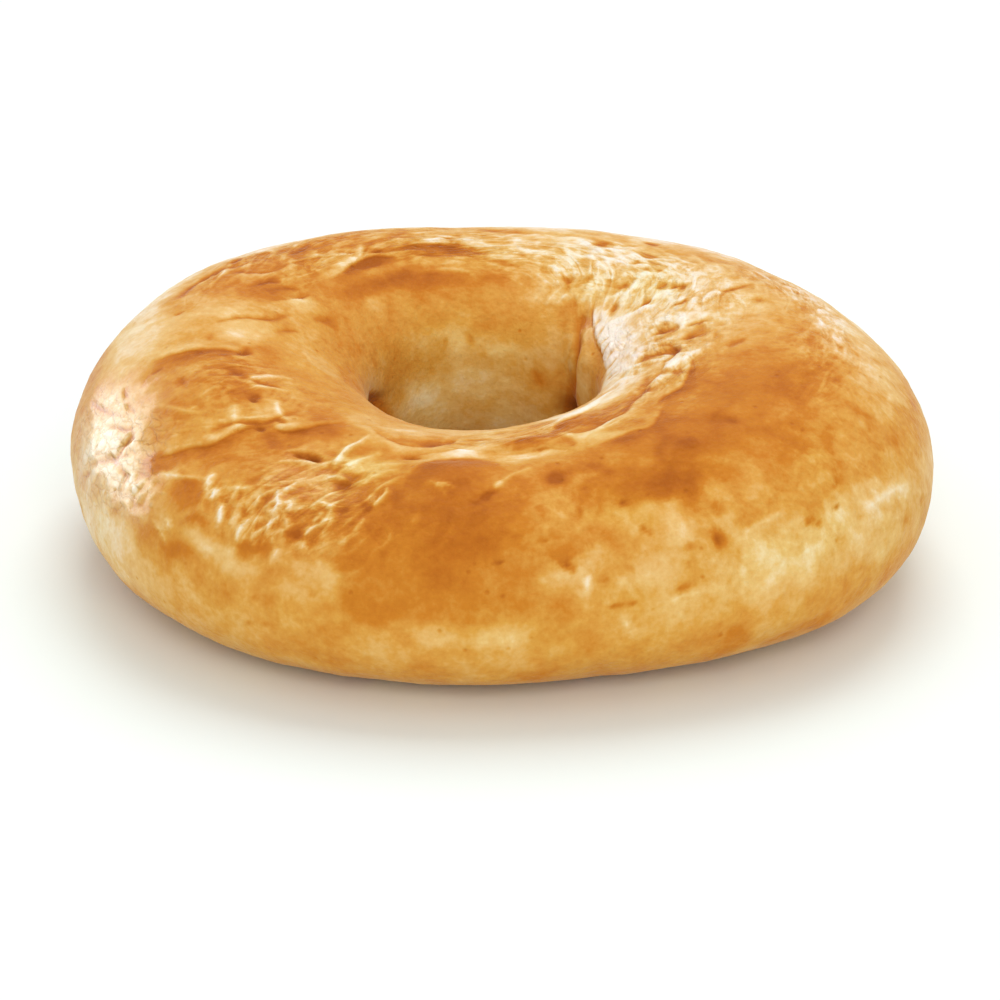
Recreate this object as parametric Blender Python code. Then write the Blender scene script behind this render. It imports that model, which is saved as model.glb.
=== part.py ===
"""A plain bagel: one ring of baked dough, about 112 mm across, lying flat on its base.

The ring is a rope of dough. Its cross-section is carried round between two outlines seen from above, the
outer rim and the hole. The hole sits off centre, so the rope is fattest on the front right. The section is
a domed top over a squarer underside, which is pressed flat where the bagel lay on the baking sheet.

Metres, +Z up. The front of the bagel is at -Y. The origin is under the middle of the bagel, on its base.
"""

import bmesh
import bpy
from math import copysign, cos, exp, pi, radians, sin

MM = 0.001

# Driving dimensions
OUTER_RADIUS = 55 * MM
HOLE_RADIUS = 15.4 * MM
HOLE_SHIFT = (-2.5 * MM, 2.8 * MM)  # the hole lies towards the back left
HEIGHT = 31 * MM
BASE_FLATTENED = 0.6 * MM  # what the baking sheet takes off the rounded underside

# The rim's departures from a circle, and the crest's from a level ring:
# waves round the ring, share of the size, direction of a high point in degrees
RIM_WAVES = ((2, 0.022, 1), (3, 0.017, 82), (4, 0.016, 62))
CREST_WAVES = ((1, 0.056, 90), (2, 0.056, 167))

# The section: where the widest points lie, as a share of the height, and how square its two halves are.
# 2 is an ellipse, and larger numbers are squarer.
WIDEST_OUTSIDE = 0.475
WIDEST_IN_HOLE = 0.635
DOME_SQUARENESS = 1.87
UNDERSIDE_SQUARENESS = 2.41

# Broad folds in the crust: direction and place in the section, both in degrees, where 0 is the outer side,
# 90 the crest and 180 the hole's wall; then the fold's half widths round the ring and over the rope, in
# degrees, and its height, below zero for a hollow.
FOLDS = (
    (262, 84, 26, 9, -0.9 * MM),  # the crease along the front lip of the hole
    (232, 64, 12, 12, -0.6 * MM),  # the pinched hollow at the front left
    (300, 72, 16, 14, 0.7 * MM),  # the swell beside it on the front right
    (205, 84, 14, 14, 0.5 * MM),  # the browned hump on the left
    (48, 186, 8, 34, -1.3 * MM),  # the seam in the hole, where the ends of the rope meet
    (92, 188, 24, 26, 0.7 * MM),  # the end of the rope that bulges out beside the seam
)

# Mesh density
STATIONS = 90  # sections round the ring
SECTION_POINTS = 40  # points round each section


def waves(direction, table):
    """1 plus the table's waves, in the direction given."""
    return 1 + sum(share * cos(count * (direction - radians(high))) for count, share, high in table)


def power(value, exponent):
    """A power that keeps the sign of its base."""
    return copysign(abs(value) ** exponent, value)


def turn_between(angle, centre):
    """The signed angle from centre to angle, from -180 to 180 degrees, both in degrees."""
    return (angle - centre + 180) % 360 - 180


def fold_height(direction, place):
    """How far the broad folds lift the crust, each a smooth mound or hollow that dies away round it."""
    height = 0
    for at, over, half_turn, half_over, rise in FOLDS:
        along = turn_between(direction, at) / half_turn
        across = turn_between(place, over) / half_over
        height += rise * exp(-(along**2 + across**2))
    return height


def section_point(direction, place):
    """The point of the plain form in a direction from the middle, at a place round the section, both in radians.

    across runs from -1 at the hole to 1 at the rim, and rise from -1 at the base to 1 at the crest. Together
    they go round a superellipse, whose widest line slopes from the rim up to the hole's wall.
    """
    rim = OUTER_RADIUS * waves(direction, RIM_WAVES)
    crest = HEIGHT * waves(direction, CREST_WAVES)
    on_rim = (rim * cos(direction), rim * sin(direction))
    on_hole = tuple(
        shift + HOLE_RADIUS * part for shift, part in zip(HOLE_SHIFT, (cos(direction), sin(direction)))
    )

    squareness = DOME_SQUARENESS if sin(place) >= 0 else UNDERSIDE_SQUARENESS
    across = power(cos(place), 2 / squareness)
    rise = power(sin(place), 2 / squareness)
    widest = crest * (WIDEST_IN_HOLE + (WIDEST_OUTSIDE - WIDEST_IN_HOLE) * (across + 1) / 2)
    room = crest - widest if rise >= 0 else widest
    x, y = (
        (inner + outer) / 2 + (outer - inner) / 2 * across for inner, outer in zip(on_hole, on_rim)
    )
    return x, y, widest + room * rise


def lifted_point(direction, place):
    """The plain form's point, moved out along its normal by the folds, then pressed flat underneath."""
    step = 1e-4
    here = section_point(direction, place)
    on_round = [b - a for a, b in zip(here, section_point(direction + step, place))]
    on_over = [b - a for a, b in zip(here, section_point(direction, place + step))]
    normal = [
        on_round[1] * on_over[2] - on_round[2] * on_over[1],
        on_round[2] * on_over[0] - on_round[0] * on_over[2],
        on_round[0] * on_over[1] - on_round[1] * on_over[0],
    ]
    length = sum(part * part for part in normal) ** 0.5
    lift = fold_height(direction * 180 / pi, place * 180 / pi)
    x, y, z = (at + lift * part / length for at, part in zip(here, normal))
    return x, y, max(z - BASE_FLATTENED, 0)


def ring_points():
    """Every point of the crust, section by section, centred over the origin."""
    # Half a step keeps the points off the section's two ends, where the superellipse turns sharply
    sections = [
        [
            lifted_point(2 * pi * station / STATIONS, 2 * pi * (point + 0.5) / SECTION_POINTS)
            for point in range(SECTION_POINTS)
        ]
        for station in range(STATIONS)
    ]
    flat = [point for section in sections for point in section]
    middle = [(min(p[axis] for p in flat) + max(p[axis] for p in flat)) / 2 for axis in (0, 1)]
    return [[(x - middle[0], y - middle[1], z) for x, y, z in section] for section in sections]


def bagel_mesh():
    """A closed tube: each section is bridged to the next, and the last to the first."""
    shape = bmesh.new()
    rings = [[shape.verts.new(point) for point in section] for section in ring_points()]
    for station, ring in enumerate(rings):
        after = rings[(station + 1) % STATIONS]
        for point in range(SECTION_POINTS):
            above = (point + 1) % SECTION_POINTS
            shape.faces.new((ring[point], after[point], after[above], ring[above]))
    bmesh.ops.recalc_face_normals(shape, faces=shape.faces)
    bmesh.ops.triangulate(shape, faces=shape.faces)
    mesh = bpy.data.meshes.new("bagel")
    shape.to_mesh(mesh)
    shape.free()
    mesh.shade_smooth()
    return mesh


def crust_material():
    """Golden crust with a low gloss."""
    material = bpy.data.materials.new("crust")
    material.use_nodes = True
    shader = material.node_tree.nodes["Principled BSDF"]
    shader.inputs["Base Color"].default_value = (0.69, 0.36, 0.11, 1)
    shader.inputs["Roughness"].default_value = 0.45
    shader.inputs["Metallic"].default_value = 0
    return material


def clear_scene():
    for thing in list(bpy.data.objects):
        bpy.data.objects.remove(thing)


def main():
    clear_scene()
    bagel = bpy.data.objects.new("bagel", bagel_mesh())
    bagel.data.materials.append(crust_material())
    bpy.context.scene.collection.objects.link(bagel)


main()
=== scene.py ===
# %% [markdown]
# # A plain baked bagel
# A bagel is one rope of dough, closed into a ring, boiled and then baked. Boiling sets a skin on it, and
# the crumb goes on rising under that skin in the oven. So the crust is smooth and tight where it swelled,
# and creased and wrinkled where it was pinched or sank back. This lesson makes that crust as one surface
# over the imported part. It works the relief out as arrays, and colours the surface with the same arrays.

import bpy
import numpy as np
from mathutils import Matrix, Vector


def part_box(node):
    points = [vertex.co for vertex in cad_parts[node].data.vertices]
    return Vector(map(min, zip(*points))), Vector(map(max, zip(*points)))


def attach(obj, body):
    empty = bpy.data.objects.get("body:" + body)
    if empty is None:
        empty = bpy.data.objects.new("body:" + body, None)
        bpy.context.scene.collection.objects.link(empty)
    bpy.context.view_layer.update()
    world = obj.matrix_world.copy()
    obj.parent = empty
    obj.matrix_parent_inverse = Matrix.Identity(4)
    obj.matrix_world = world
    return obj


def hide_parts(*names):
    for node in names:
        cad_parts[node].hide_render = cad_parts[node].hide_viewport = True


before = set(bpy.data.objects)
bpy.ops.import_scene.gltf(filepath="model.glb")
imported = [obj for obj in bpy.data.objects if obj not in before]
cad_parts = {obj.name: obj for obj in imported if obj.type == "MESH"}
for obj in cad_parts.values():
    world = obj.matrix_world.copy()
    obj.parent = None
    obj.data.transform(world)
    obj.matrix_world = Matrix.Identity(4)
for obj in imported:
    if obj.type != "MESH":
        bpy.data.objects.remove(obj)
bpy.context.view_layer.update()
box_low, box_high = (np.array(corner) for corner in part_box("bagel"))
box_middle = (box_low + box_high) / 2
MM = 0.001
print("packed part, mm:", np.round((box_high - box_low) / MM, 1))

# %% [markdown]
# ## Camera
# Food is mostly looked at from the height of someone seated at the table. A long lens from half a metre
# away keeps the ring's shape true. The camera aims a little in front of and below the bagel's middle, so
# that the bagel stands slightly above the centre of the frame, with room for its shadow.

# %% Camera
AIM_BEFORE_MIDDLE = 3.8 * MM
AIM_ABOVE_FLOOR = 7.2 * MM
VIEW_RISE = np.radians(23.7)
VIEW_REACH = 442 * MM
LENS = 121

aim = Vector((box_middle[0], box_middle[1] - AIM_BEFORE_MIDDLE, AIM_ABOVE_FLOOR))
camera = bpy.data.objects.new("camera", bpy.data.cameras.new("camera"))
camera.data.lens = LENS
camera.data.clip_start = 10 * MM
camera.location = aim + VIEW_REACH * Vector((0, -np.cos(VIEW_RISE), np.sin(VIEW_RISE)))
camera.rotation_euler = (aim - camera.location).to_track_quat("-Z", "Y").to_euler()
bpy.context.scene.collection.objects.link(camera)
bpy.context.scene.camera = camera
print("camera at, mm:", np.round(np.array(camera.location) / MM))

# %% [markdown]
# ## Floor and light
# A white sweep and an even white sky light bread softly from all round, which keeps its colours clean. A
# wide window low at the back left shows only as a reflection, and puts the broken shine on the glossy
# left end. A panel high at the back brings out the wrinkles, and one over the camera lights the front and
# the hole's wall.

# %% Floor and light
FLOOR_COLOR = (0.89, 0.955, 0.93)
FLOOR_ROUGHNESS = 0.7
FLOOR_REACH = 3.0
SKY_STRENGTH = 0.66


def plain_material(name, color, roughness):
    """A Principled material with one colour, for what isn't part of the bagel."""
    material = bpy.data.materials.new(name)
    material.use_nodes = True
    shader = material.node_tree.nodes["Principled BSDF"]
    shader.inputs["Base Color"].default_value = (*color, 1)
    shader.inputs["Roughness"].default_value = roughness
    return material


def floor_sheet(reach):
    """A square sheet from -reach to reach each way, at the height of the bagel's base."""
    mesh = bpy.data.meshes.new("floor")
    corners = reach * np.array([(-1, -1, 0), (1, -1, 0), (1, 1, 0), (-1, 1, 0)])
    mesh.from_pydata(corners.tolist(), [], [(0, 1, 2, 3)])
    mesh.materials.append(plain_material("floor_white", FLOOR_COLOR, FLOOR_ROUGHNESS))
    return bpy.data.objects.new("floor", mesh)


def panel_light(name, azimuth, rise, reach, size, watts):
    """A lamp of (width, height) facing the bagel. Azimuth 0 is at the camera, and 90 on its right."""
    lamp = bpy.data.lights.new(name, "AREA")
    lamp.shape = "RECTANGLE"
    lamp.size, lamp.size_y = size
    lamp.energy = watts
    panel = bpy.data.objects.new(name, lamp)
    turned, up = np.radians(azimuth), np.radians(rise)
    out = Vector((np.sin(turned) * np.cos(up), -np.cos(turned) * np.cos(up), np.sin(up)))
    panel.location = out * reach
    panel.rotation_euler = (-out).to_track_quat("-Z", "Y").to_euler()
    bpy.context.scene.collection.objects.link(panel)
    return panel


floor = floor_sheet(FLOOR_REACH)
bpy.context.scene.collection.objects.link(floor)
window = panel_light("window", azimuth=-126, rise=15, reach=1.2, size=(0.90, 0.62), watts=7.0)
window.visible_diffuse = False
panel_light("overhead", azimuth=170, rise=62, reach=1.1, size=(0.7, 0.7), watts=5.2)
panel_light("fill", azimuth=5, rise=32, reach=1.1, size=(0.6, 0.6), watts=3.6)

sky = bpy.data.worlds.new("studio")
sky.use_nodes = True
sky.node_tree.nodes["Background"].inputs["Color"].default_value = (1, 1, 1, 1)
sky.node_tree.nodes["Background"].inputs["Strength"].default_value = SKY_STRENGTH
bpy.context.scene.world = sky
bpy.context.scene.view_settings.view_transform = "Standard"
print("floor, three panels and an even sky")

# %% [markdown]
# ## The crust's two coordinates
# Every point of the crust has a direction, the angle round the ring seen from above, and a place, the
# angle round the rope's section. Direction 0 is on the right, 90 at the back, 180 on the left and 270 at
# the front. Place 0 is on the outer side, 90 on the crest, 180 on the hole's wall and 270 underneath.

# %% The plain form
OUTER_RADIUS = 55 * MM
HOLE_RADIUS = 15.4 * MM
HOLE_SHIFT = np.array((-2.5, 2.8)) * MM
HEIGHT = 31 * MM
RIM_WAVES = ((2, 0.022, 1), (3, 0.017, 82), (4, 0.016, 62))
CREST_WAVES = ((1, 0.056, 90), (2, 0.056, 167))
WIDEST_OUTSIDE = 0.475
WIDEST_IN_HOLE = 0.635
DOME_SQUARENESS = 1.87
UNDERSIDE_SQUARENESS = 2.41


def waves(direction, table):
    """1 plus a sum of cosines. Each has a number of waves round the ring, a share and a high direction."""
    return 1 + sum(share * np.cos(count * (direction - np.radians(high))) for count, share, high in table)


def power(value, exponent):
    """A power that keeps the sign of its base."""
    return np.sign(value) * np.abs(value) ** exponent


def plain_form(direction, place):
    """The ring before any folds, as points for arrays of directions and places in radians.

    across goes from -1 at the hole to 1 at the rim, and rise from -1 at the base to 1 at the crest. The
    pair follows a superellipse. The line of the widest points slopes up from the rim to the hole's wall.
    """
    round_it = np.stack((np.cos(direction), np.sin(direction)), -1)
    on_rim = (OUTER_RADIUS * waves(direction, RIM_WAVES))[..., None] * round_it
    on_hole = HOLE_SHIFT + HOLE_RADIUS * round_it
    crest = HEIGHT * waves(direction, CREST_WAVES)
    squareness = np.where(np.sin(place) >= 0, DOME_SQUARENESS, UNDERSIDE_SQUARENESS)
    across = power(np.cos(place), 2 / squareness)
    rise = power(np.sin(place), 2 / squareness)
    widest = crest * (WIDEST_IN_HOLE + (WIDEST_OUTSIDE - WIDEST_IN_HOLE) * (across + 1) / 2)
    room = np.where(rise >= 0, crest - widest, widest)
    flat = (on_hole + on_rim) / 2 + (on_rim - on_hole) / 2 * across[..., None]
    return np.concatenate((flat, (widest + room * rise)[..., None]), -1)


back_crest = plain_form(np.radians(90), np.radians(90))
print("the crest at the back, mm:", np.round(back_crest / MM, 1))

# %% [markdown]
# The points of the grid are spread by given densities. They stand closest on the crest and at the
# front left, where the skin is most wrinkled, and thinly underneath, where nothing shows.

# %% The grid of directions and places
STATIONS = 500
SECTION_POINTS = 199
# How finely a full turn is cut for measuring it, and how many sections are measured
FINE = 4000
SAMPLED_SECTIONS = 12
# How densely the points lie, as pairs of an angle and a share, round the ring and over the section
DENSE_ROUND = ((0, 1.1), (60, 1.1), (110, 0.9), (195, 0.9), (218, 1.35), (255, 1.35), (275, 0.9), (360, 1.1))
DENSE_OVER = (
    (0, 0.9), (20, 1.1), (60, 1.5), (150, 1.6), (170, 0.8),
    (215, 0.6), (240, 0.3), (300, 0.3), (330, 0.7), (360, 0.9),
)


def spread(lengths, angles, density, count):
    """`count` of the angles in radians, spread evenly by length times density."""
    dense = np.interp(np.degrees(angles[1:] + angles[:-1]) / 2, *zip(*density))
    travelled = np.concatenate(([0], np.cumsum(lengths * dense)))
    return np.interp(travelled[-1] * (np.arange(count) + 0.5) / count, travelled, angles)


full_turn = np.linspace(0, 2 * np.pi, FINE + 1)
around = np.linspace(0, 2 * np.pi, SAMPLED_SECTIONS, endpoint=False)
sections = plain_form(*np.meshgrid(around, full_turn, indexing="ij"))
section_lengths = np.linalg.norm(np.diff(sections, axis=1), axis=2).mean(0)
directions = spread(np.ones(FINE), full_turn, DENSE_ROUND, STATIONS)
places = spread(section_lengths, full_turn, DENSE_OVER, SECTION_POINTS)
direction, place = np.meshgrid(directions, places, indexing="ij")
turn, over = np.degrees(direction), np.degrees(place)
plain = plain_form(direction, place)


def next_step(points, axis):
    """How far it is from each grid point to the next one along an axis of the grid, in mm."""
    return np.linalg.norm(np.roll(points, -1, axis) - points, axis=-1) / MM


for axis, name in enumerate(("round the ring", "over the section")):
    steps_mm = next_step(plain, axis)
    print("steps", name, "mm:", steps_mm.min().round(2), "to", steps_mm.max().round(2))

# %% [markdown]
# ## Helpers for uneven things
# Nothing on bread is regular, so most of the relief starts from noise: smooth random bumps, one to each
# cube of space. The same seed gives the same bumps each time.

# %% Noise
# How many cubes in a row differ before they repeat, and what brings the highest bumps near 1
CUBE_TABLE = 32
NOISE_GAIN = 1.6
# The sizes of the bumps that make edges and creases wander
SLOW_BUMPS, FINE_BUMPS, FINEST_BUMPS = 9 * MM, 3.5 * MM, 1.7 * MM


def fade(share):
    """The smooth step from 0 to 1 that has no kink at either end."""
    return share**3 * (share * (6 * share - 15) + 10)


def space_noise(points, size, seed):
    """Gradient noise, about -1 to 1, in cubes of the given size.

    Each corner of a cube has a random slope. A point takes the heights that the slopes of its cube's
    eight corners give it, weighed by how near it is to each.
    """
    slopes = np.random.default_rng(seed).normal(size=(CUBE_TABLE,) * 3 + (3,))
    slopes /= np.linalg.norm(slopes, axis=-1, keepdims=True)
    scaled = points / size
    cell = np.floor(scaled).astype(int)
    share = scaled - cell
    total = 0
    for corner in np.ndindex(2, 2, 2):
        slope = slopes[tuple(((cell + corner) % CUBE_TABLE)[..., axis] for axis in range(3))]
        weight = np.where(corner, fade(share), 1 - fade(share)).prod(-1)
        total = total + weight * (slope * (share - corner)).sum(-1)
    return NOISE_GAIN * total


wander, wander_too = (space_noise(plain, SLOW_BUMPS, seed) for seed in (21, 22))
wander_fine, wander_fine_too = (space_noise(plain, FINE_BUMPS, seed) for seed in (23, 27))
wander_finest = space_noise(plain, FINEST_BUMPS, 28)
print("noise from", wander.min().round(2), "to", wander.max().round(2))

# %% [markdown]
# A patch is a soft spot at a given direction and place, and says where something happens. Its edges waver,
# because noise shifts the angles that it is measured in.

# %% Patches and other helpers
# How far the edges of a patch waver, in degrees round the ring and over the section
WAVER_ROUND, WAVER_OVER = 2.4, 4.32
FINE_SHARE, FINEST_SHARE = 0.8, 0.35
wavering_turn = turn + WAVER_ROUND * (wander + FINE_SHARE * wander_fine + FINEST_SHARE * wander_finest)
wavering_over = over + WAVER_OVER * (wander_too + FINE_SHARE * wander_fine_too - FINEST_SHARE * wander_finest)


def turned_from(angle, centre):
    """The signed angle from centre to angle, from -180 to 180 degrees."""
    return (angle - centre + 180) % 360 - 180


def distance_squared(angles, centre, half_turn, half_over):
    """How far angles are from the centre, counted in half widths each way, squared."""
    halves = (half_turn, half_over)
    return sum((turned_from(angle, c) / half) ** 2 for angle, c, half in zip(angles, centre, halves))


def patch(at, across, half_turn, half_over):
    """A patch with wavering edges: exp(-distance cubed), flat in its middle and 0 well outside."""
    apart = distance_squared((wavering_turn, wavering_over), (at, across), half_turn, half_over)
    return np.exp(-(apart**1.5))


def spot(at, across, half_turn, half_over):
    """A rounder spot with even edges: exp(-distance squared)."""
    return np.exp(-distance_squared((turn, over), (at, across), half_turn, half_over))


def amount(spots):
    """How much of something there is at each point: the sum of its patches, kept from 0 to 1."""
    return np.clip(sum(much * patch(*where) for *where, much in spots), 0, 1)


def outward(points):
    """The unit direction out of the surface at each point of the grid, from the points beside it."""
    round_it = np.roll(points, -1, 0) - np.roll(points, 1, 0)
    over_it = np.roll(points, -1, 1) - np.roll(points, 1, 1)
    normal = np.cross(round_it, over_it)
    return normal / np.linalg.norm(normal, axis=-1, keepdims=True)


def softened(values, times):
    """Each value averaged with its neighbours round the ring and over it, again and again."""
    for _ in range(times):
        for axis in (0, 1):
            values = values / 2 + (np.roll(values, 1, axis) + np.roll(values, -1, axis)) / 4
    return values


print("the edges waver by up to", np.abs(wavering_turn - turn).max().round(1), "degrees")

# %% [markdown]
# ## Broad folds and swells
# The dough was pinched where its ends met and pushed about in the water, so the ring has slow dents and
# humps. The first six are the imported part's own. The others are smaller, and slow noise makes the whole
# ring uneven.

# %% Broad folds and swells
# Direction, place, half widths in degrees, and rise in mm
FOLDS = (
    (262, 84, 26, 9, -0.9),
    (232, 64, 12, 12, -0.6),
    (300, 72, 16, 14, 0.7),
    (205, 84, 14, 14, 0.5),
    (48, 186, 8, 34, -1.3),
    (92, 188, 24, 26, 0.7),
)
SWELLS = (
    (263, 73, 7, 11, 0.8),
    (276, 94, 8, 4, 0.5),
    (292, 104, 9, 6, 0.3),
    (246, 66, 7, 16, -0.5),
    (284, 48, 5, 12, -0.2),
    (272, 40, 8, 20, 0.3),
    (224, 30, 7, 14, 0.35),
    (219, 52, 4, 8, -0.3),
    (230, 74, 5, 6, -0.3),
    (234, 86, 4, 9, 0.35),
    (345, 130, 3, 12, -0.25),
    (2, 130, 2.5, 8, -0.2),
    (318, 45, 18, 20, 0.3),
    (322, 80, 14, 14, 0.35),
    (100, 107, 9, 4, -0.2),
    (126, 114, 8, 3, -0.25),
    (180, 100, 8, 24, 0.3),
    (190, 100, 5, 14, -0.3),
    (205, 75, 7, 16, 0.4),
    (30, 172, 8, 14, 0.6),
    (14, 152, 5, 8, 0.4),
    (30, 146, 4, 6, 0.35),
    (161, 68, 5, 8, -0.35),
    (152, 78, 3, 5, 0.3),
    (132, 82, 4, 4, 0.25),
    (283, -38, 5, 14, -0.45),
    (270, -36, 6, 10, 0.25),
    (301, -34, 4, 10, 0.25),
    (318, -30, 3, 10, 0.25),
    (246, -36, 4, 10, 0.2),
    (232, -34, 3, 10, -0.2),
)
SWELL_SIZE = 17 * MM
SWELL_HEIGHT = 0.32

lift = sum(rise * spot(*where) for *where, rise in FOLDS + SWELLS)
lift += SWELL_HEIGHT * space_noise(plain, SWELL_SIZE, 1)
folded = plain + outward(plain) * (lift * MM)[..., None]
normals = outward(folded)
print("folds, mm:", lift.min().round(2), lift.max().round(2))

# %% [markdown]
# ## Creases
# Where the skin slid over itself it left steps: one side stands up and is pale, and the other lies in a
# hollow and is darker, partly the crust's own colour and partly painted highlight and painted shade. Where
# it only buckled it left single ridges and grooves. Each crease is a smooth curve through a few directions
# and places. The height at a point depends on how far it is from the curve, and on which side, so the
# crease can be as narrow as the grid allows.

# %% Curves on the crust
CURVE_STEPS = 8
# How far from a curve anything is measured, and a distance for all that lies further off
CREASE_REACH = 12 * MM
FAR = 1.0


def smooth_curve(knots):
    """A curve through the knots: between two of them, a cubic set by the knots before and after."""
    knots = np.array(knots, float)
    held = np.vstack((2 * knots[0] - knots[1], knots, 2 * knots[-1] - knots[-2]))
    share = np.linspace(0, 1, CURVE_STEPS, endpoint=False)[:, None]
    spans = [
        (2 * b + (c - a) * share + (2 * a - 5 * b + 4 * c - d) * share**2 + (3 * (b - c) + d - a) * share**3)
        / 2
        for a, b, c, d in zip(held, held[1:], held[2:], held[3:])
    ]
    return np.vstack((*spans, knots[-1:]))


def beside(knots):
    """How far each grid point lies to the left of a curve on the crust, in mm, and how far along it, 0 to 1.

    The nearest point of each straight piece of the curve is found, and the nearest of those counts. The
    side is the sign of the outward direction along (curve's direction x way from the curve).
    """
    curve = plain_form(*np.radians(smooth_curve(knots)).T)
    near = ((plain > curve.min(0) - CREASE_REACH) & (plain < curve.max(0) + CREASE_REACH)).all(-1)
    points, out = plain[near], normals[near]
    side = np.ones(len(points))
    nearest = np.full(len(points), FAR)
    gone = np.zeros(len(points))
    for step, (start, end) in enumerate(zip(curve, curve[1:])):
        run = end - start
        share = np.clip((points - start) @ run / (run @ run), 0, 1)
        way = points - start - share[:, None] * run
        distance = np.linalg.norm(way, axis=1)
        closer = distance < nearest
        nearest = np.where(closer, distance, nearest)
        side = np.where(closer, np.sign((np.cross(run, way) * out).sum(1)), side)
        gone = np.where(closer, (step + share) / (len(curve) - 1), gone)
    left, along = np.full(plain.shape[:2], FAR / MM), np.zeros(plain.shape[:2])
    left[near] = side * nearest / MM
    along[near] = gone
    return left, along


print("a curve has", CURVE_STEPS, "straight pieces between two knots")

# %% [markdown]
# Where one skin slid over another, the upper one ends in an edge with a hollow along it. These are the
# longest marks on the crust, so each was listed one by one. They run round the front lip, along the folds
# that lead from it to the right, down the front left, over the lip on the right and across the back.

# %% Skin over skin
# The curve, the rises in mm and the extra browning on its left and right, below zero for paler and
# partly painted shade and highlight, and the widths in mm of the whole and of its edge
STEPS = (
    # The reddish hump at the front, under a pale arch
    (((254.5, 58), (255.5, 69), (258, 79), (262, 85), (266, 85.5), (270, 80), (272, 71)),
     0.24, 0.10, -0.12, 0.16, 1.4, 0.3),
    (((252, 80), (255, 85.5), (259, 90), (264, 92), (269, 90)),
     -0.26, 0.20, 0.10, -0.10, 1.1, 0.34),
    (((267, 89.5), (272, 88.6), (277, 87.6), (281, 87), (283.5, 84), (285.7, 79.5)),
     0.28, -0.24, 0.06, -0.20, 1.4, 0.34),
    (((285.7, 79.5), (287.3, 85), (286.5, 91), (284.5, 96)),
     0.18, 0.18, 0.14, -0.24, 1.1, 0.34),
    # Long pale folds that run from the front lip towards the right
    (((285, 97), (288, 92), (291, 92), (295, 96), (299, 99), (303, 102.5), (308, 108), (314, 112)),
     -0.28, 0.32, 0.20, -0.26, 1.0, 0.30),
    (((289, 79), (293, 81), (297, 82), (300, 80.6), (303, 84), (306, 89), (308.5, 96)),
     0.28, -0.10, -0.16, 0.26, 1.2, 0.28),
    (((283, 100), (287, 107), (292, 114), (299, 121), (308, 128)),
     0.22, -0.20, -0.14, 0.20, 1.2, 0.34),
    (((308, 108), (314, 113.5), (320, 118.5), (328, 121), (336, 124)),
     -0.32, 0.26, 0.12, -0.16, 1.1, 0.34),
    (((308, 97.5), (313, 101), (320, 103.5), (328, 110), (337, 115)),
     0.28, -0.16, -0.18, 0.22, 1.1, 0.28),
    # Brown scales on the front dome
    (((291, 77), (293, 79.5), (295.5, 79.5), (297.3, 77), (297.8, 73)),
     -0.04, 0.14, -0.06, 0.24, 2.2, 0.26),
    (((300, 66.5), (302, 68.8), (304.2, 68), (305.4, 64.5)),
     -0.04, 0.12, -0.04, 0.22, 2.2, 0.26),
    (((291, 43.5), (292, 47.5), (295, 47), (297.5, 48), (300.4, 48)),
     0.08, -0.05, 0.20, -0.10, 2.2, 0.26),
    # Hollows on the right shoulder
    (((334, 122), (339, 121.5), (345, 123.5), (350, 128)),
     -0.40, 0.26, 0.16, -0.18, 1.2, 0.34),
    (((356, 124), (361, 123.2), (366, 125), (369, 129)),
     -0.28, 0.20, 0.14, -0.16, 1.1, 0.34),
    # The slanting edge at the front left, with a brown hollow below it
    (((213.5, 39), (215.8, 46), (217.8, 52), (220, 56.5),
      (221.5, 62), (222.4, 67), (223.4, 72), (226, 77)),
     0.34, -0.36, -0.14, 0.20, 1.4, 0.34),
    (((226, 77), (229, 79), (232, 84), (234, 92), (236, 101)),
     0.24, -0.26, -0.12, 0.18, 1.3, 0.34),
    (((240, 104), (246, 97), (252, 93), (257, 95), (263, 103)),
     -0.26, 0.24, 0.12, -0.16, 1.1, 0.34),
    # The left shoulder
    (((192.5, 60), (194, 72), (196.4, 82), (198.4, 92), (199.5, 100)),
     0.20, -0.20, -0.16, 0.22, 1.5, 0.34),
    # The pale lip over the hole's wall on the right
    (((356, 166), (366, 164), (375, 162), (383, 159), (390, 156),
      (396, 151.5), (401, 146), (405, 140), (408.5, 132)),
     -0.50, 0.34, 0.10, -0.30, 1.1, 0.3),
    # The outer face at the back
    (((60, 30), (70, 36), (82, 34), (94, 40), (106, 37)),
     0.20, -0.18, -0.16, 0.14, 1.3, 0.34),
    (((128, 12), (140, 22), (152, 24), (166, 34)),
     0.20, -0.16, -0.14, 0.14, 1.3, 0.34),
    (((20, 6), (34, 14), (50, 12), (58, 20)),
     -0.16, 0.18, 0.12, -0.14, 1.2, 0.34),
    # The back left
    (((117, 112), (122, 110.3), (127, 110.5), (132, 113), (138, 117), (146, 119)),
     -0.20, 0.20, 0.26, -0.24, 1.2, 0.28),
    (((91, 108), (95, 104), (100, 102), (107, 102.5), (116, 103)),
     -0.18, 0.16, 0.16, -0.12, 1.2, 0.34),
    (((93, 113), (99, 112), (106, 113), (114, 112)),
     0.16, -0.18, -0.12, 0.14, 1.2, 0.34),
    (((157, 122), (162, 121), (166, 116.5), (170, 112.5)),
     0.22, -0.28, -0.16, 0.14, 1.2, 0.34),
    (((123, 100), (126, 107), (130, 110.5)),
     -0.18, 0.24, 0.06, -0.14, 1.1, 0.34),
    (((147, 98), (152, 100.5), (156, 98), (158.5, 91), (160.5, 84)),
     0.22, -0.20, -0.14, 0.12, 1.1, 0.34),
)
print(len(STEPS), "edges of skin")
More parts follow.
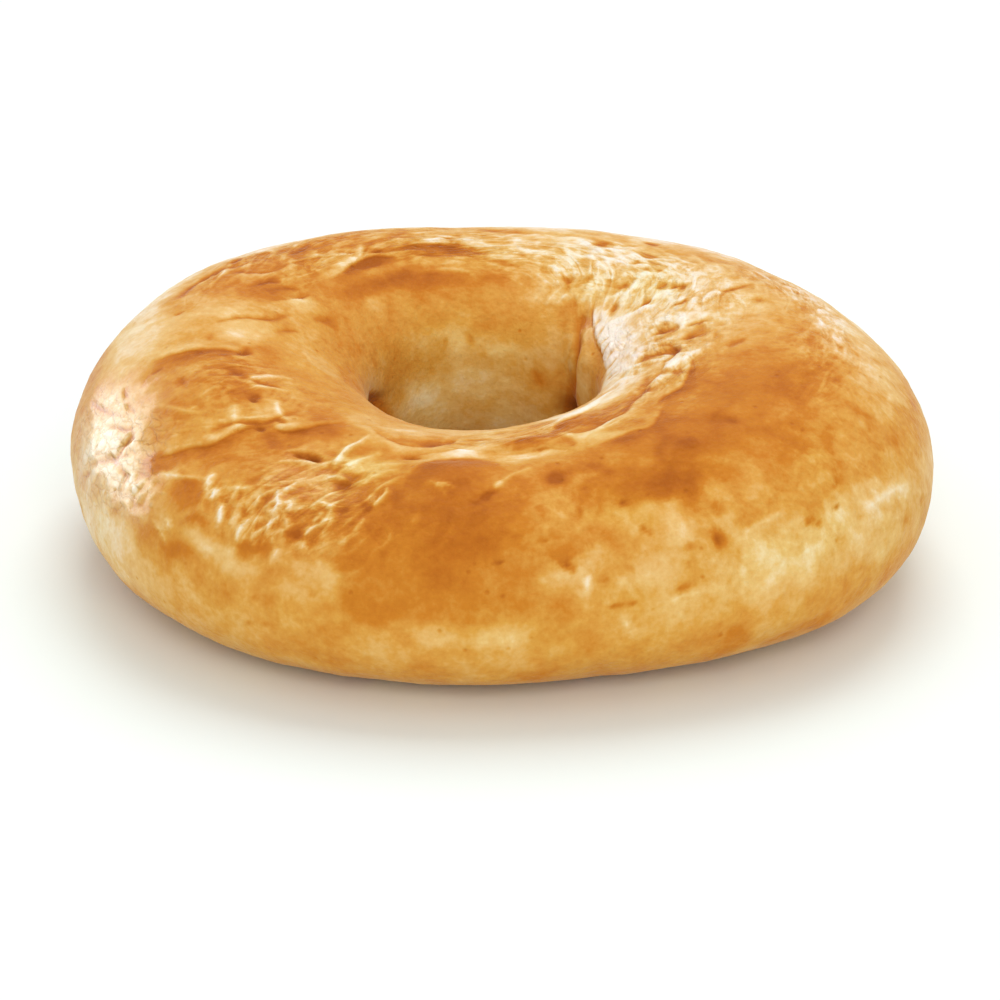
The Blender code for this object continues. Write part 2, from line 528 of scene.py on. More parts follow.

# %% [markdown]
# A single ridge or groove has one height for both sides. Its top is paler, partly because the skin is
# stretched there and partly as painted highlight, and a groove is darker, partly as painted shade. The
# first ones run down the front left, where the skin was pulled downwards: short bright ridges, longer ones
# beside the front hump, and the rim of a small cave.

# %% Ridges down the front left
# The curve, the height in mm, below zero for a groove, the half width in mm and the extra browning,
# below zero for paler, partly painted shade and highlight
FRONT_LEFT_LINES = (
    # Short bright ridges, whose pale tops are partly painted highlight
    (((236.2, 51.5), (236.9, 48), (237.5, 44), (237, 40)), 0.55, 0.42, -0.34),
    (((234, 46.5), (234.2, 44), (234, 41)), 0.32, 0.34, -0.20),
    (((225.5, 48), (225.2, 45), (225.8, 42)), 0.38, 0.65, -0.26),
    (((227.2, 42.5), (227.8, 38)), 0.38, 0.40, -0.26),
    (((229.5, 38.5), (229.8, 34), (230, 30.5)), 0.50, 0.42, -0.32),
    (((234.2, 36.5), (233.8, 32), (233.8, 29), (234.2, 25.5)), 0.42, 0.45, -0.28),
    (((236.5, 51), (237.3, 53), (238.8, 55)), 0.25, 0.35, -0.16),
    (((242.8, 49.5), (242.4, 46)), 0.30, 0.28, -0.26),
    (((243.5, 50), (243.2, 46)), 0.30, 0.28, -0.26),
    (((244.1, 51), (243.9, 47.5)), 0.30, 0.28, -0.26),
    (((244.3, 47), (244.1, 43.5)), 0.28, 0.28, -0.24),
    (((243.6, 44.5), (243.4, 41.5)), 0.28, 0.28, -0.24),
    (((245.3, 48.5), (245, 45.5), (244.8, 42)), 0.28, 0.30, -0.24),
    (((252.6, 62.5), (252.8, 58.5), (252, 55), (251, 51.5)), 0.50, 0.40, -0.34),
    (((250.8, 58.5), (249.8, 54.5), (248.4, 51)), 0.34, 0.35, -0.22),
    (((250.6, 47.5), (250, 44), (249.2, 40)), 0.40, 0.45, -0.26),
    (((250.4, 40.5), (248.8, 38.5), (247.8, 34)), 0.28, 0.34, -0.20),
    (((254.2, 44.5), (254.6, 40), (254, 36), (253, 33.5)), 0.20, 0.30, -0.14),
    (((239, 28.5), (238.4, 33), (239.8, 36), (239.9, 39), (238.8, 41.5)), 0.28, 0.38, -0.20),
    (((240, 28.5), (239.6, 25.5), (239.2, 19.5)), 0.32, 0.45, -0.30),
    (((235.4, 27.5), (235.8, 31), (237.2, 35.5), (238.3, 40.5)), 0.26, 0.32, -0.20),
    (((245.4, 48.5), (245.2, 43.5), (244, 40), (241.8, 37.5)), 0.24, 0.30, -0.18),
    (((258, 50), (257.4, 46)), 0.18, 0.30, -0.14),
    (((222, 24), (223.2, 20.5)), 0.20, 0.32, -0.14),
    (((219, 20), (221.5, 18), (223, 14)), 0.18, 0.35, -0.12),
    # The bright ridge and the pale streaks beside the front hump
    (((242.4, 67.5), (242, 75), (242, 82), (243, 87.5), (243.6, 96)), 0.52, 0.40, -0.34),
    (((253.4, 73), (251.2, 71), (249.5, 68), (248.6, 64), (247.4, 60.5)), 0.26, 0.45, -0.14),
    (((254.2, 68.5), (252.5, 64.5), (251.2, 61), (250, 56)), 0.30, 0.45, -0.20),
    (((248.2, 86.5), (246.2, 78), (244.6, 72), (243.4, 67.5)), 0.20, 0.45, -0.12),
    (((255, 78), (251, 76.5), (248, 74)), 0.18, 0.45, -0.10),
    (((241.2, 60), (243.5, 64), (246.8, 64)), 0.25, 0.40, -0.22),
    (((242, 47), (243.5, 51), (245.2, 49), (245.8, 43)), 0.22, 0.35, -0.20),
    (((260, 64), (261.8, 64), (263.5, 62)), 0.30, 0.34, -0.36),
    (((270, 61.5), (270.4, 63.5), (270.9, 65.5)), 0.34, 0.40, -0.40),
    (((262, 58), (261, 63), (258.5, 66)), 0.22, 0.34, -0.18),
    (((270.6, 61.5), (271.6, 66), (274, 70), (278, 73)), 0.20, 0.40, -0.18),
    # Round the cave
    (((233, 63.5), (235, 66), (237.5, 68), (239.2, 68.5)), 0.40, 0.42, -0.26),
    (((229, 66), (232, 69), (235, 73), (238, 75)), 0.16, 0.50, -0.10),
    (((235, 59.5), (233.5, 54.5), (232.6, 50)), 0.18, 0.32, -0.14),
    (((228.3, 44.5), (231, 46.5), (232.2, 48.5)), 0.20, 0.32, -0.14),
    (((215.8, 36), (218.8, 38.5), (221.5, 41.5), (224.8, 44.5)), 0.30, 0.38, -0.28),
    (((225, 46.5), (226, 41.5), (227, 37.5)), 0.28, 0.45, -0.22),
)
print(len(FRONT_LEFT_LINES), "ridges at the front left")

# %% [markdown]
# The glossy left end has fine cracks, as a dried film has, and the tan shoulder over it a few long soft
# ridges that lead towards the hole.

# %% Cracks and ridges on the left
LEFT_LINES = (
    # The glossy left end
    (((193.8, 48.5), (196, 47.5), (198.8, 46.5), (200.8, 46), (203.2, 47.5)), -0.22, 0.32, 0.12),
    (((205, 42.5), (206, 40), (206, 36), (206, 32.5), (206.2, 29.5)), -0.26, 0.40, 0.26),
    (((198.5, 15.5), (201.2, 20.5), (204, 26.5), (207, 32), (209.2, 38.5)), -0.20, 0.80, 0.12),
    (((201.6, 30.5), (201.2, 26.5), (199.4, 21.5)), -0.18, 0.30, 0.10),
    (((202.5, 28), (207.8, 28), (211.2, 27)), -0.18, 0.35, 0.14),
    (((211.5, 30), (213.5, 26), (215.2, 23)), 0.22, 0.35, -0.10),
    (((188.5, 31), (195.2, 36), (201.2, 44)), -0.18, 0.35, 0.16),
    (((196, 33), (203.2, 40), (205.2, 45)), -0.18, 0.35, 0.16),
    (((205.6, 36.5), (206.6, 41)), -0.16, 0.30, 0.10),
    (((196.8, 31.5), (198.2, 27.5), (198.8, 23.5)), -0.14, 0.30, 0.05),
    (((200.9, 16.5), (199, 11.5)), -0.22, 0.40, 0.10),
    (((208.4, 20.5), (209.5, 18), (209, 13.5)), -0.16, 0.30, 0.08),
    (((210.2, 30.5), (210.6, 24.5), (210.2, 20.5)), -0.16, 0.30, 0.08),
    (((216.4, 34.5), (216, 30), (215.2, 25.5), (214.8, 21.5)), 0.22, 0.34, -0.12),
    (((214.4, 32.5), (213.8, 28), (212.8, 21.5)), 0.22, 0.34, -0.12),
    (((217.6, 30.5), (217, 25.5)), 0.18, 0.32, -0.10),
    (((212, 32.5), (211.4, 26.5), (211.2, 21.5)), 0.20, 0.32, -0.10),
    (((195.4, 60), (197, 56), (199, 54)), -0.12, 0.40, 0.06),
    # The tan shoulder on the left
    (((196.4, 65), (196, 59.5)), -0.18, 0.34, 0.20),
    (((213.2, 50.5), (214.4, 53.5)), 0.14, 0.34, -0.20),
    (((211, 63.5), (212, 66.5)), 0.14, 0.34, -0.20),
    (((216.2, 77), (219.2, 72.5), (221.8, 68)), 0.20, 0.75, -0.20),
    (((210.5, 104), (211.5, 94), (212.5, 87)), 0.30, 0.6, -0.16),
    (((221, 92), (224, 86), (228, 83.5)), 0.22, 0.40, -0.16),
    (((196.5, 100), (199, 98.5), (200.5, 95)), -0.28, 0.6, 0.20),
    (((185.5, 90), (182.8, 100), (181, 112), (173.8, 121)), -0.24, 0.50, 0.22),
    (((191.5, 88), (190.5, 96), (191.2, 102)), 0.10, 0.80, -0.12),
    (((179, 72), (177.8, 76)), -0.15, 0.40, 0.20),
    (((202.8, 76), (205.5, 84), (208.2, 88), (211.5, 90)), -0.14, 0.90, 0.20),
    (((212, 85), (211.2, 92), (211, 100), (212.5, 110)), 0.26, 0.45, -0.26),
    (((214.2, 88), (215.5, 94), (218, 101)), 0.24, 0.42, -0.22),
    (((218.2, 61), (220.8, 70), (225, 78), (226.5, 94)), -0.22, 0.50, 0.22),
    (((209.8, 88), (213.5, 94), (216.2, 100)), -0.16, 0.50, 0.18),
    (((202.8, 54), (209.5, 60), (214, 67)), 0.12, 0.50, -0.14),
    (((188, 114), (184.2, 120), (182.8, 126)), -0.15, 0.55, 0.16),
    (((171.2, 130), (168.2, 136), (167, 143)), -0.12, 0.70, 0.16),
)
print(len(LEFT_LINES), "cracks and ridges on the left")

# %% [markdown]
# At the back the skin lies in long low folds. A few brown grooves show over the crest at the back left.

# %% Ridges and grooves at the back
BACK_LINES = (
    # The outer face
    (((72, 46), (80, 52), (92, 50)), 0.20, 0.60, -0.20),
    (((88, 14), (98, 22), (112, 20)), 0.18, 0.60, -0.18),
    (((112, 50), (122, 44), (134, 48)), -0.20, 0.70, 0.22),
    (((40, 36), (50, 44), (60, 42)), -0.18, 0.70, 0.20),
    (((146, 2), (156, 8), (170, 6)), 0.16, 0.60, -0.16),
    (((4, 18), (14, 26), (26, 26)), 0.16, 0.50, -0.18),
    # The crest and the way into the hole
    (((159.8, 76), (157, 79), (155.5, 84), (151.2, 83)), -0.26, 0.55, 0.26),
    (((166.5, 99), (160.5, 104), (157.5, 108)), -0.22, 0.60, 0.26),
    (((166.2, 108), (159.5, 112), (157, 117)), -0.18, 0.60, 0.22),
    (((114.5, 122), (104.5, 122), (99, 123), (94.2, 126)), 0.16, 0.50, -0.24),
    (((144.5, 95.5), (142, 92.5), (138.5, 90), (134, 88)), -0.20, 0.90, 0.36),
    (((157.5, 75.5), (160, 73), (165, 71), (171, 70.5)), -0.45, 0.75, 0.42),
    (((155, 77), (151, 79.5)), -0.20, 0.40, 0.26),
    (((162.5, 121), (164.5, 117.5), (166, 112)), 0.20, 0.50, -0.14),
    (((138, 118.5), (132, 115.5), (127, 114.5), (121.5, 114)), -0.22, 0.90, 0.30),
    (((164, 134), (167, 138)), -0.14, 1.10, 0.14),
    (((94, 127.5), (107, 126), (130, 128), (147.5, 128)), -0.08, 1.60, 0.18),
)
print(len(BACK_LINES), "ridges and grooves at the back")

# %% [markdown]
# The right shoulder is the most wrinkled part: amber hollows lie in a pale net, and longer ridges slant
# through it into the hole. Where it turns down into the hole, the pale lip is cracked across.

# %% Hollows, ridges and cracks on the right
RIGHT_LINES = (
    # Amber hollows, and the ridges between them
    (((3.5, 135.5), (2, 131), (0.8, 124)), -0.18, 0.75, 0.30),
    (((359, 121), (359.5, 117), (360.2, 112)), -0.20, 0.65, 0.26),
    (((15.2, 101.5), (15.8, 96), (18, 84.5)), -0.18, 0.55, 0.34),
    (((27.5, 106), (25.5, 112)), -0.22, 0.65, 0.26),
    (((32.8, 111), (30.8, 117)), -0.22, 0.75, 0.20),
    (((28, 123), (25.8, 129)), -0.22, 0.60, 0.26),
    (((38.6, 131), (36, 137)), -0.22, 0.65, 0.22),
    (((45, 117), (42.8, 123)), -0.22, 0.70, 0.20),
    (((65, 122), (62, 127)), -0.20, 0.60, 0.20),
    (((58.5, 119), (56.8, 125)), -0.20, 0.60, 0.20),
    (((66.4, 96.5), (62.6, 92.5)), -0.22, 0.80, 0.42),
    (((57.2, 81), (53, 82.5)), -0.18, 0.70, 0.42),
    (((16.6, 121), (15.8, 113)), -0.22, 0.55, 0.34),
    (((312.6, 111), (317, 116)), -0.26, 0.85, 0.34),
    (((324.8, 109.5), (327.5, 114.5)), -0.22, 0.75, 0.26),
    (((325, 117), (328.5, 121)), -0.22, 0.70, 0.24),
    (((340.6, 104.5), (345.2, 98.5)), -0.14, 0.80, 0.18),
    (((312, 118.5), (304, 114), (294, 104), (286.5, 96)), -0.16, 1.10, 0.14),
    (((319, 137), (312, 134), (305, 129.5), (295, 118.5), (287, 110)), 0.34, 0.80, -0.30),
    (((347, 142), (345.2, 134), (343.8, 126), (343.2, 117)), -0.18, 0.75, 0.30),
    (((340, 146), (339.8, 136), (338, 122)), 0.24, 0.70, -0.24),
    (((355.2, 143), (352.8, 132), (354.2, 120)), 0.24, 0.80, -0.26),
    (((30.8, 149), (26, 135), (22.2, 124)), 0.22, 0.60, -0.24),
    (((35, 139), (38.8, 126), (44.2, 109)), 0.22, 0.60, -0.24),
    (((22.2, 133), (26.8, 124), (29, 116)), 0.18, 0.60, -0.22),
    (((36.5, 134), (35, 141)), -0.12, 0.60, 0.10),
    (((24.2, 128), (30, 119)), -0.12, 0.55, 0.12),
    (((29, 114), (27, 108)), -0.16, 0.60, 0.24),
    (((351.2, 123), (350.5, 117)), -0.16, 0.60, 0.22),
    (((325, 125), (331, 118.5), (339.2, 113), (344.2, 110)), 0.26, 0.75, -0.26),
    # Cracks across the pale lip
    (((345, 160), (343, 155), (342, 150)), -0.18, 0.40, 0.22),
    (((351, 164), (349, 159), (348, 153)), -0.22, 0.42, 0.22),
    (((357, 166), (355.5, 161), (355, 156)), -0.16, 0.36, 0.18),
    (((363, 165), (362, 160), (362.5, 154)), -0.22, 0.45, 0.24),
    (((368, 163), (370, 158), (369, 153)), -0.16, 0.36, 0.16),
    (((375, 161.5), (377, 157), (376.5, 152)), -0.22, 0.42, 0.24),
    (((382, 159), (384, 154), (383, 149)), -0.16, 0.36, 0.18),
    (((388, 156.5), (391, 152), (391.5, 146)), -0.20, 0.42, 0.22),
    (((395, 152), (398, 147), (398, 142)), -0.16, 0.40, 0.18),
    (((353, 160), (350.5, 156), (351, 151)), 0.20, 0.50, -0.16),
    (((366, 162), (366.5, 157), (365, 152)), 0.20, 0.50, -0.16),
    (((379, 160), (380.5, 155), (380, 150)), 0.18, 0.45, -0.14),
    (((393, 153.5), (394.5, 149), (394, 144)), 0.18, 0.45, -0.14),
)
print(len(RIGHT_LINES), "hollows, ridges and cracks on the right")

# %% [markdown]
# The hole's wall has two deep folds, where the rope's ends met and where the dough was pushed in. The low
# front is nearly smooth, with a few short cracks and pale nicks.

# %% In the hole and low on the front
HOLE_AND_FRONT_LINES = (
    # In the hole
    (((49.5, 141), (44, 156), (38.4, 170), (38.4, 181), (43, 189)), -0.60, 0.85, 0.24),
    (((140, 200), (152, 192), (163, 186), (173, 183)), -1.00, 1.10, 0.30),
    (((58, 187), (61, 185), (64, 181)), -0.08, 0.50, 0.14),
    (((66, 142), (65, 134), (63.5, 128)), 0.16, 0.50, -0.18),
    (((61.5, 140), (60.5, 132)), 0.14, 0.45, -0.16),
    (((96, 172), (97, 163)), -0.06, 0.60, 0.08),
    (((104, 184), (105, 168), (104.5, 158)), 0.05, 1.40, -0.10),
    (((108, 170), (111, 169)), -0.06, 0.45, 0.12),
    # Low on the front
    (((279.8, 26.5), (277.6, 28.5)), -0.12, 0.45, 0.18),
    (((281.5, 22.5), (281.2, 17), (280.8, 12)), 0.24, 0.36, -0.36),
    (((285.2, 4), (286.2, -2), (287.5, -9)), 0.14, 0.40, -0.22),
    (((323, 20), (326, 20), (329, 20), (332.8, 18)), 0.18, 0.60, -0.16),
    (((303.5, 28), (306.5, 30), (309.8, 32)), 0.14, 0.50, -0.22),
    (((291.5, 6), (294, 8), (300, 8)), 0.08, 0.45, -0.12),
    (((267.8, 57), (268.5, 59), (270.2, 60)), -0.20, 0.45, 0.34),
    (((278.2, 28), (279.2, 26), (280, 24)), -0.14, 0.42, 0.30),
    (((320.8, 36), (319.6, 32)), -0.10, 0.36, 0.12),
    (((282.3, 51), (281.5, 45.5)), -0.10, 0.34, 0.22),
    (((290, 39.5), (290.4, 37), (291, 34.5)), -0.10, 0.32, 0.30),
    (((301.6, 43), (301, 36)), -0.04, 0.80, 0.18),
    (((310.4, 18.5), (310.2, 14)), -0.10, 0.40, 0.16),
    (((295, 22.5), (295.2, 17.5)), -0.08, 0.45, 0.08),
    (((293.6, 13), (293.2, 8)), -0.08, 0.45, 0.10),
)
LINES = FRONT_LEFT_LINES + LEFT_LINES + BACK_LINES + RIGHT_LINES + HOLE_AND_FRONT_LINES
print(len(LINES), "ridges and grooves in all")

# %% [markdown]
# Bubbles that burst in the skin left small pits, most of them no larger than a seed. A pit is a round or
# long spot that goes down, with browner crust in it.

# %% Pits
# Direction, place, half widths in degrees, depth in mm, and extra browning
PITS = (
    (237.8, 70.6, 1.5, 1.3, 1.0, 0.40),
    (235.2, 69.8, 1.0, 0.9, 0.55, 0.30),
    (245.2, 62, 1.5, 4.6, 0.45, 0.30),
    (225.2, 74, 0.9, 1.1, 0.35, 0.30),
    (226.8, 82, 1.1, 0.9, 0.25, 0.22),
    (218, 83.4, 0.9, 1.1, 0.40, 0.34),
    (203.8, 68, 1.3, 1.4, 0.20, 0.16),
    (199.2, 99, 1.2, 2.2, 0.25, 0.22),
    (217.3, 86, 1.2, 1.8, 0.3, 0.16),
    (254.4, 84.6, 1.4, 1.4, 0.45, 0.34),
    (256.8, 97.5, 3.0, 3.4, 0.4, 0.24),
    (261.2, 100, 1.2, 2.6, 0.3, 0.18),
    (312, 74, 2.0, 4.0, 0.45, 0.14),
    (313.7, 70.8, 0.9, 2.2, 0.20, 0.20),
    (279.9, 64.7, 1.7, 3.2, 0.26, 0.62),
    (288.5, 50, 0.6, 1.0, 0.10, 0.26),
    (284, 58, 0.5, 1.0, 0.08, 0.20),
    (329, 113, 0.8, 1.0, 0.12, 0.10),
    (324, 110, 0.8, 1.0, 0.12, 0.10),
    (327, 107.5, 0.7, 0.9, 0.12, 0.10),
    (320.5, 106, 0.8, 1.0, 0.12, 0.10),
    (268.2, 57.4, 0.9, 1.6, 0.25, 0.18),
    (266.8, 55.6, 0.7, 1.4, 0.15, 0.12),
    (269.7, 30.4, 0.5, 0.7, 0.15, 0.34),
    (292.4, 50.5, 0.5, 0.8, 0.12, 0.16),
    (283.4, 20, 0.5, 1.4, 0.15, 0.16),
    (300, 28, 0.9, 3.4, 0.22, 0.56),
    (284.8, 8, 0.7, 1.2, 0.15, 0.26),
    (286.8, 8, 0.6, 1.0, 0.10, 0.22),
    (276, 38, 0.6, 0.9, 0.1, 0.16),
    (272.6, 40, 0.6, 0.9, 0.1, 0.16),
    (288.8, 49, 0.7, 0.9, 0.12, 0.26),
    (296, 28, 0.6, 1.4, 0.10, 0.20),
    (294, 12, 0.8, 1.6, 0.10, 0.20),
    (336.5, 5, 0.7, 1.6, 0.10, 0.20),
    (313.1, 25, 0.6, 1.3, 0.15, 0.34),
    (314.4, 22.4, 0.6, 1.1, 0.15, 0.30),
    (318, 25.6, 0.6, 0.8, 0.18, 0.30),
    (321.6, 18, 0.7, 1.2, 0.10, 0.10),
    (320, -3, 0.8, 1.2, 0.10, 0.10),
    (331, 4, 0.6, 1.8, 0.12, 0.14),
    (322, 56, 0.6, 0.8, 0.12, 0.14),
    (236.5, -9, 0.5, 0.8, 0.1, 0.16),
    (239, -8, 0.5, 0.8, 0.1, 0.16),
    (237.5, 3, 0.5, 0.8, 0.1, 0.12),
    (245.5, 12, 0.6, 1.6, 0.08, 0.12),
    (7.5, 90, 1.8, 3, 0.20, 0.24),
    (49.5, 97, 3, 2.4, 0.22, 0.16),
    (352, 119.5, 3, 1.8, 0.26, 0.16),
    (50.4, 105, 1.4, 1.6, 0.22, 0.16),
    (128.5, 103.2, 1.2, 0.8, 0.30, 0.30),
    (121.5, 106, 1.4, 1.0, 0.25, 0.26),
    (100.5, 97, 2, 1.2, 0.22, 0.24),
    (191.5, 86, 1.4, 2, 0.15, 0.10),
    (45, 196, 6, 7, 1.1, 0.40),
)
print(len(PITS), "pits")

# %% [markdown]
# A crease wanders a little off its curve and is stronger in some places than in others, or it would look
# drawn with a pen. The same pass collects the browning beside each crease, partly the crust's own colour
# and partly painted shade, in one array. It also keeps how far each point lies to the side of its nearest
# crease. From that the material draws a keen line, finer than the mesh, along the foot of an edge, the
# bottom of a groove or the top of a ridge: painted shade at a foot or in a groove, and a painted highlight
# on a ridge.

# %% Creases
# How far creases wander in mm, and how much their strength varies, each slowly and finely
CREASE_WANDER = (0.45, 0.30)
LIVELINESS = (0.6, 0.5)
LIVELY_BUMPS = 6 * MM
LIVELY_LIMITS = (0.2, 1.7)
TAPER = 0.6
# How much further than its height the browning of an edge reaches, and how far out its foot is, in mm
SHADE_WIDENING = 1.7
FOOT_OUT = 0.25
# What share of the wander a ridge or groove follows, and what share of its rise a ridge keeps
LINE_WAVER = 0.6
RIDGE_SHARE = 0.7
# The strengths of the keen lines of painted shade and highlight, and the rises in mm from which they have
# their full strength
KEEN_LINE, KEEN_STEP = 0.5, 0.6
FULL_LINE, FULL_STEP = 0.4, 0.6
# How far off a crease its side is kept, in mm, and the jump in it that means another crease begins
KEEN_REACH = 3
KEEN_JUMP = 1.3
lively = 1 + LIVELINESS[0] * space_noise(plain, LIVELY_BUMPS, 26) + LIVELINESS[1] * wander_fine_too
lively = np.clip(lively, *LIVELY_LIMITS)
waver_mm = CREASE_WANDER[0] * wander_too + CREASE_WANDER[1] * wander_fine


def tapered(along):
    """1 along most of a crease, dying away to 0 at both ends."""
    return np.sin(np.pi * np.clip(along, 0, 1)) ** TAPER


def crease_step(knots, rise_left, rise_right, brown_left, brown_right, width, edge):
    """One skin over another: its height in mm, its browning, the way to its keen line and that line's depth.

    The height is exp(-distance / width), times the rise of the side that the point is on. The side changes
    smoothly, by the hyperbolic tangent of the distance. The browning, partly painted shade and highlight,
    falls as exp(-(distance squared)), and reaches further.
    """
    left, along = beside(knots)
    left = left + waver_mm
    on_left = (1 + np.tanh(left / edge)) / 2
    strength = tapered(along) * lively
    height = strength * np.exp(-np.abs(left) / width) * (on_left * rise_left + (1 - on_left) * rise_right)
    wide = tapered(along) * np.exp(-((left / (SHADE_WIDENING * width)) ** 2))
    foot = np.where(rise_left < rise_right, 1, -1) * FOOT_OUT
    keen = np.clip(np.abs(rise_left - rise_right) / FULL_STEP, 0, 1) * KEEN_STEP * strength
    return height, wide * (on_left * brown_left + (1 - on_left) * brown_right), left - foot, keen


def crease_line(knots, rise, half_width, browning):
    """A rounded ridge or groove, with the same four results as an edge of skin.

    Its height and browning are exp(-(distance / half width) squared). A ridge's keen line is paler, a painted
    highlight, and a groove's is darker, painted shade.
    """
    left, along = beside(knots)
    left = left + LINE_WAVER * waver_mm
    near = tapered(along) * np.exp(-((left / half_width) ** 2))
    share = RIDGE_SHARE if rise > 0 else 1
    rise, browning = share * rise, share * browning
    keen = np.clip(-rise / FULL_LINE, -1, 1) * KEEN_LINE * tapered(along) * lively
    return near * lively * rise, near * browning, left, keen


made = [crease_step(*step) for step in STEPS] + [crease_line(*line) for line in LINES]
creases = sum(height for height, *_ in made)
crease_browning_and_shade = sum(browning for _, browning, *_ in made)
keen_side, keen_depth = np.full(plain.shape[:2], FAR / MM), np.zeros(plain.shape[:2])
for *_, left, depth in made:
    closer = np.abs(left) < np.abs(keen_side)
    keen_side, keen_depth = np.where(closer, left, keen_side), np.where(closer, depth, keen_depth)
keen_side = np.clip(keen_side, -KEEN_REACH, KEEN_REACH)
# Halfway between two creases the nearest one changes, and the side jumps. No line belongs there
beside_it = [np.roll(keen_side, by, axis) for by in (-1, 1) for axis in (0, 1)]
side_jump = np.abs(np.array(beside_it) - keen_side).max(0)
keen_depth = np.where(side_jump > KEEN_JUMP, 0, keen_depth)
creases -= sum(depth * spot(*where) for *where, depth, _ in PITS)
crease_browning_and_shade += sum(browning * spot(*where) for *where, _, browning in PITS)
print("creases, mm:", creases.min().round(2), creases.max().round(2))

# %% [markdown]
# ## Wrinkles
# The skin that sank back is covered in a net of thin pale ridges with lens-shaped hollows between them.
# They all run the way the skin was drawn there: round the ring at the back, slanting into the hole on
# the right, and down the face at the front left. A table of directions gives the way at each point. Two
# kinds of pattern follow it: cells that are long that way, whose borders are the ridges, and noise averaged
# that way, as paint is under a brush.

# %% Which way the skin is drawn
# Direction, place, half widths, and the angle, from 0 for round the ring to 90 for straight across it
DRAWN = (
    (12, 80, 18, 18, -28),
    (24, 112, 12, 14, -42),
    (42, 132, 22, 20, -60),
    (44, 100, 22, 9, -8),
    (70, 128, 14, 18, -56),
    (100, 108, 20, 18, -5),
    (128, 100, 16, 16, 16),
    (146, 84, 8, 8, 30),
    (160, 112, 12, 12, -20),
    (178, 110, 12, 16, -50),
    (166, 68, 10, 12, 12),
    (197, 20, 14, 22, 24),
    (206, 88, 10, 20, 84),
    (216, 48, 8, 12, 34),
    (231, 74, 10, 12, 58),
    (222, 104, 10, 12, -65),
    (243, 60, 12, 14, 56),
    (240, 36, 12, 12, 76),
    (228, 36, 6, 12, -70),
    (256, 48, 12, 16, 48),
    (268, 90, 10, 8, 4),
    (284, 58, 14, 16, 44),
    (300, 100, 20, 16, 40),
    (320, 120, 16, 18, 43),
    (340, 130, 10, 12, 66),
    (352, 142, 10, 12, 40),
    (8, 138, 8, 12, 6),
    (18, 158, 10, 8, -25),
    (345, 48, 16, 30, -16),
    (320, 30, 14, 16, -6),
    (295, 25, 14, 18, 30),
)
# How much every place is drawn round the ring to begin with
REST_ALONG = 0.2
# The front left lies between two seams, where the way may jump. There it stays within 90 of this angle
SKIN_SEAMS = (186, 292)
FRONT_LEFT_WAY = 60
WAY_WANDER = 14
# How long the mean arrow is where its way begins to count, and how much longer where it counts in full
ARROW_LEAST, ARROW_MORE = 0.12, 0.4
rows, columns = np.meshgrid(np.arange(STATIONS), np.arange(SECTION_POINTS), indexing="ij")
at_front_left = (turn > SKIN_SEAMS[0]) & (turn < SKIN_SEAMS[1])
# Angles 0 and 180 are the same way, so they are averaged as arrows at twice the angle
arrows = REST_ALONG + sum(spot(*where) * np.exp(2j * np.radians(angle)) for *where, angle in DRAWN)
drawn_middle = np.where(at_front_left, FRONT_LEFT_WAY, 0)
drawn_way = np.radians(drawn_middle + turned_from(np.degrees(np.angle(arrows)), 2 * drawn_middle) / 2)
drawn_way += np.radians(WAY_WANDER) * wander
# Where the ways around a point cancel out, nothing is drawn at all
one_way = np.clip((np.abs(arrows) - ARROW_LEAST) / ARROW_MORE, 0, 1)
rows_per_mm = np.cos(drawn_way) / next_step(folded, 0)
columns_per_mm = np.sin(drawn_way) / next_step(folded, 1)
print("the skin is drawn, degrees:", np.degrees(drawn_way).min().round(), np.degrees(drawn_way).max().round())

# %% [markdown]
# Noise is drawn out by averaging it over a short walk along the drawn way, at each point. Where the drawn
# noise passes through 0, a thin ridge stands.

# %% Noise drawn along the skin
DRAW_STEPS = 9


def looked_up(values, row, column):
    """Values at places between the grid points: a weighed mean of the four round each place."""
    low_row, low_column = np.floor(row).astype(int), np.floor(column).astype(int)
    past_row, past_column = row - low_row, column - low_column

    def corner(step_row, step_column):
        weight = (past_row if step_row else 1 - past_row) * (past_column if step_column else 1 - past_column)
        return weight * values[(low_row + step_row) % STATIONS, (low_column + step_column) % SECTION_POINTS]

    return corner(0, 0) + corner(0, 1) + corner(1, 0) + corner(1, 1)


def drawn_noise(size_mm, reach_mm, seed):
    """Noise averaged over reach_mm both ways along the drawn way, scaled to a spread of 1."""
    noise = space_noise(folded, size_mm * MM, seed)
    steps = np.linspace(-reach_mm, reach_mm, DRAW_STEPS)
    total = sum(
        np.exp(-2 * (step / reach_mm) ** 2)
        * looked_up(noise, rows + step * rows_per_mm, columns + step * columns_per_mm)
        for step in steps
    )
    return total / total.std()


def ridges(noise, thinness):
    """Thin crests, 1 high, where the noise passes through 0, with wide hollows between them."""
    return np.exp(-thinness * np.abs(noise))


print("each walk has", DRAW_STEPS, "steps")

# %% [markdown]
# The detail finer than the mesh follows the drawn way too, so the skin is laid out flat, as a hide is on a
# table. Each point gets a length along the drawn way and a length across it, in mm, such that a small step
# on the crust is as nearly as can be the same step on the table. The skin is cut at the two seams and
# underneath, and near the cuts the material draws nothing with these lengths.

# %% The skin laid out flat
UNDER_SEAM = 270
# Only links this near a seam can cross it, because on the far side of the ring the signed angle jumps too
SEAM_NEAR = 30
LAYING_STEPS = 900
# Beside a seam the drawn detail is left out for the first of these angles and fades in over the second,
# and underneath it fades in over the last
SEAM_BARE, SEAM_FADE = 0.9, 3.0
UNDER_FADE = 12
# Where the skin is plainer: direction, place, half widths, and how much plainer
PLAINER = (
    (90, 195, 400, 40, 0.7),
    (280, -5, 60, 30, 0.45),
)


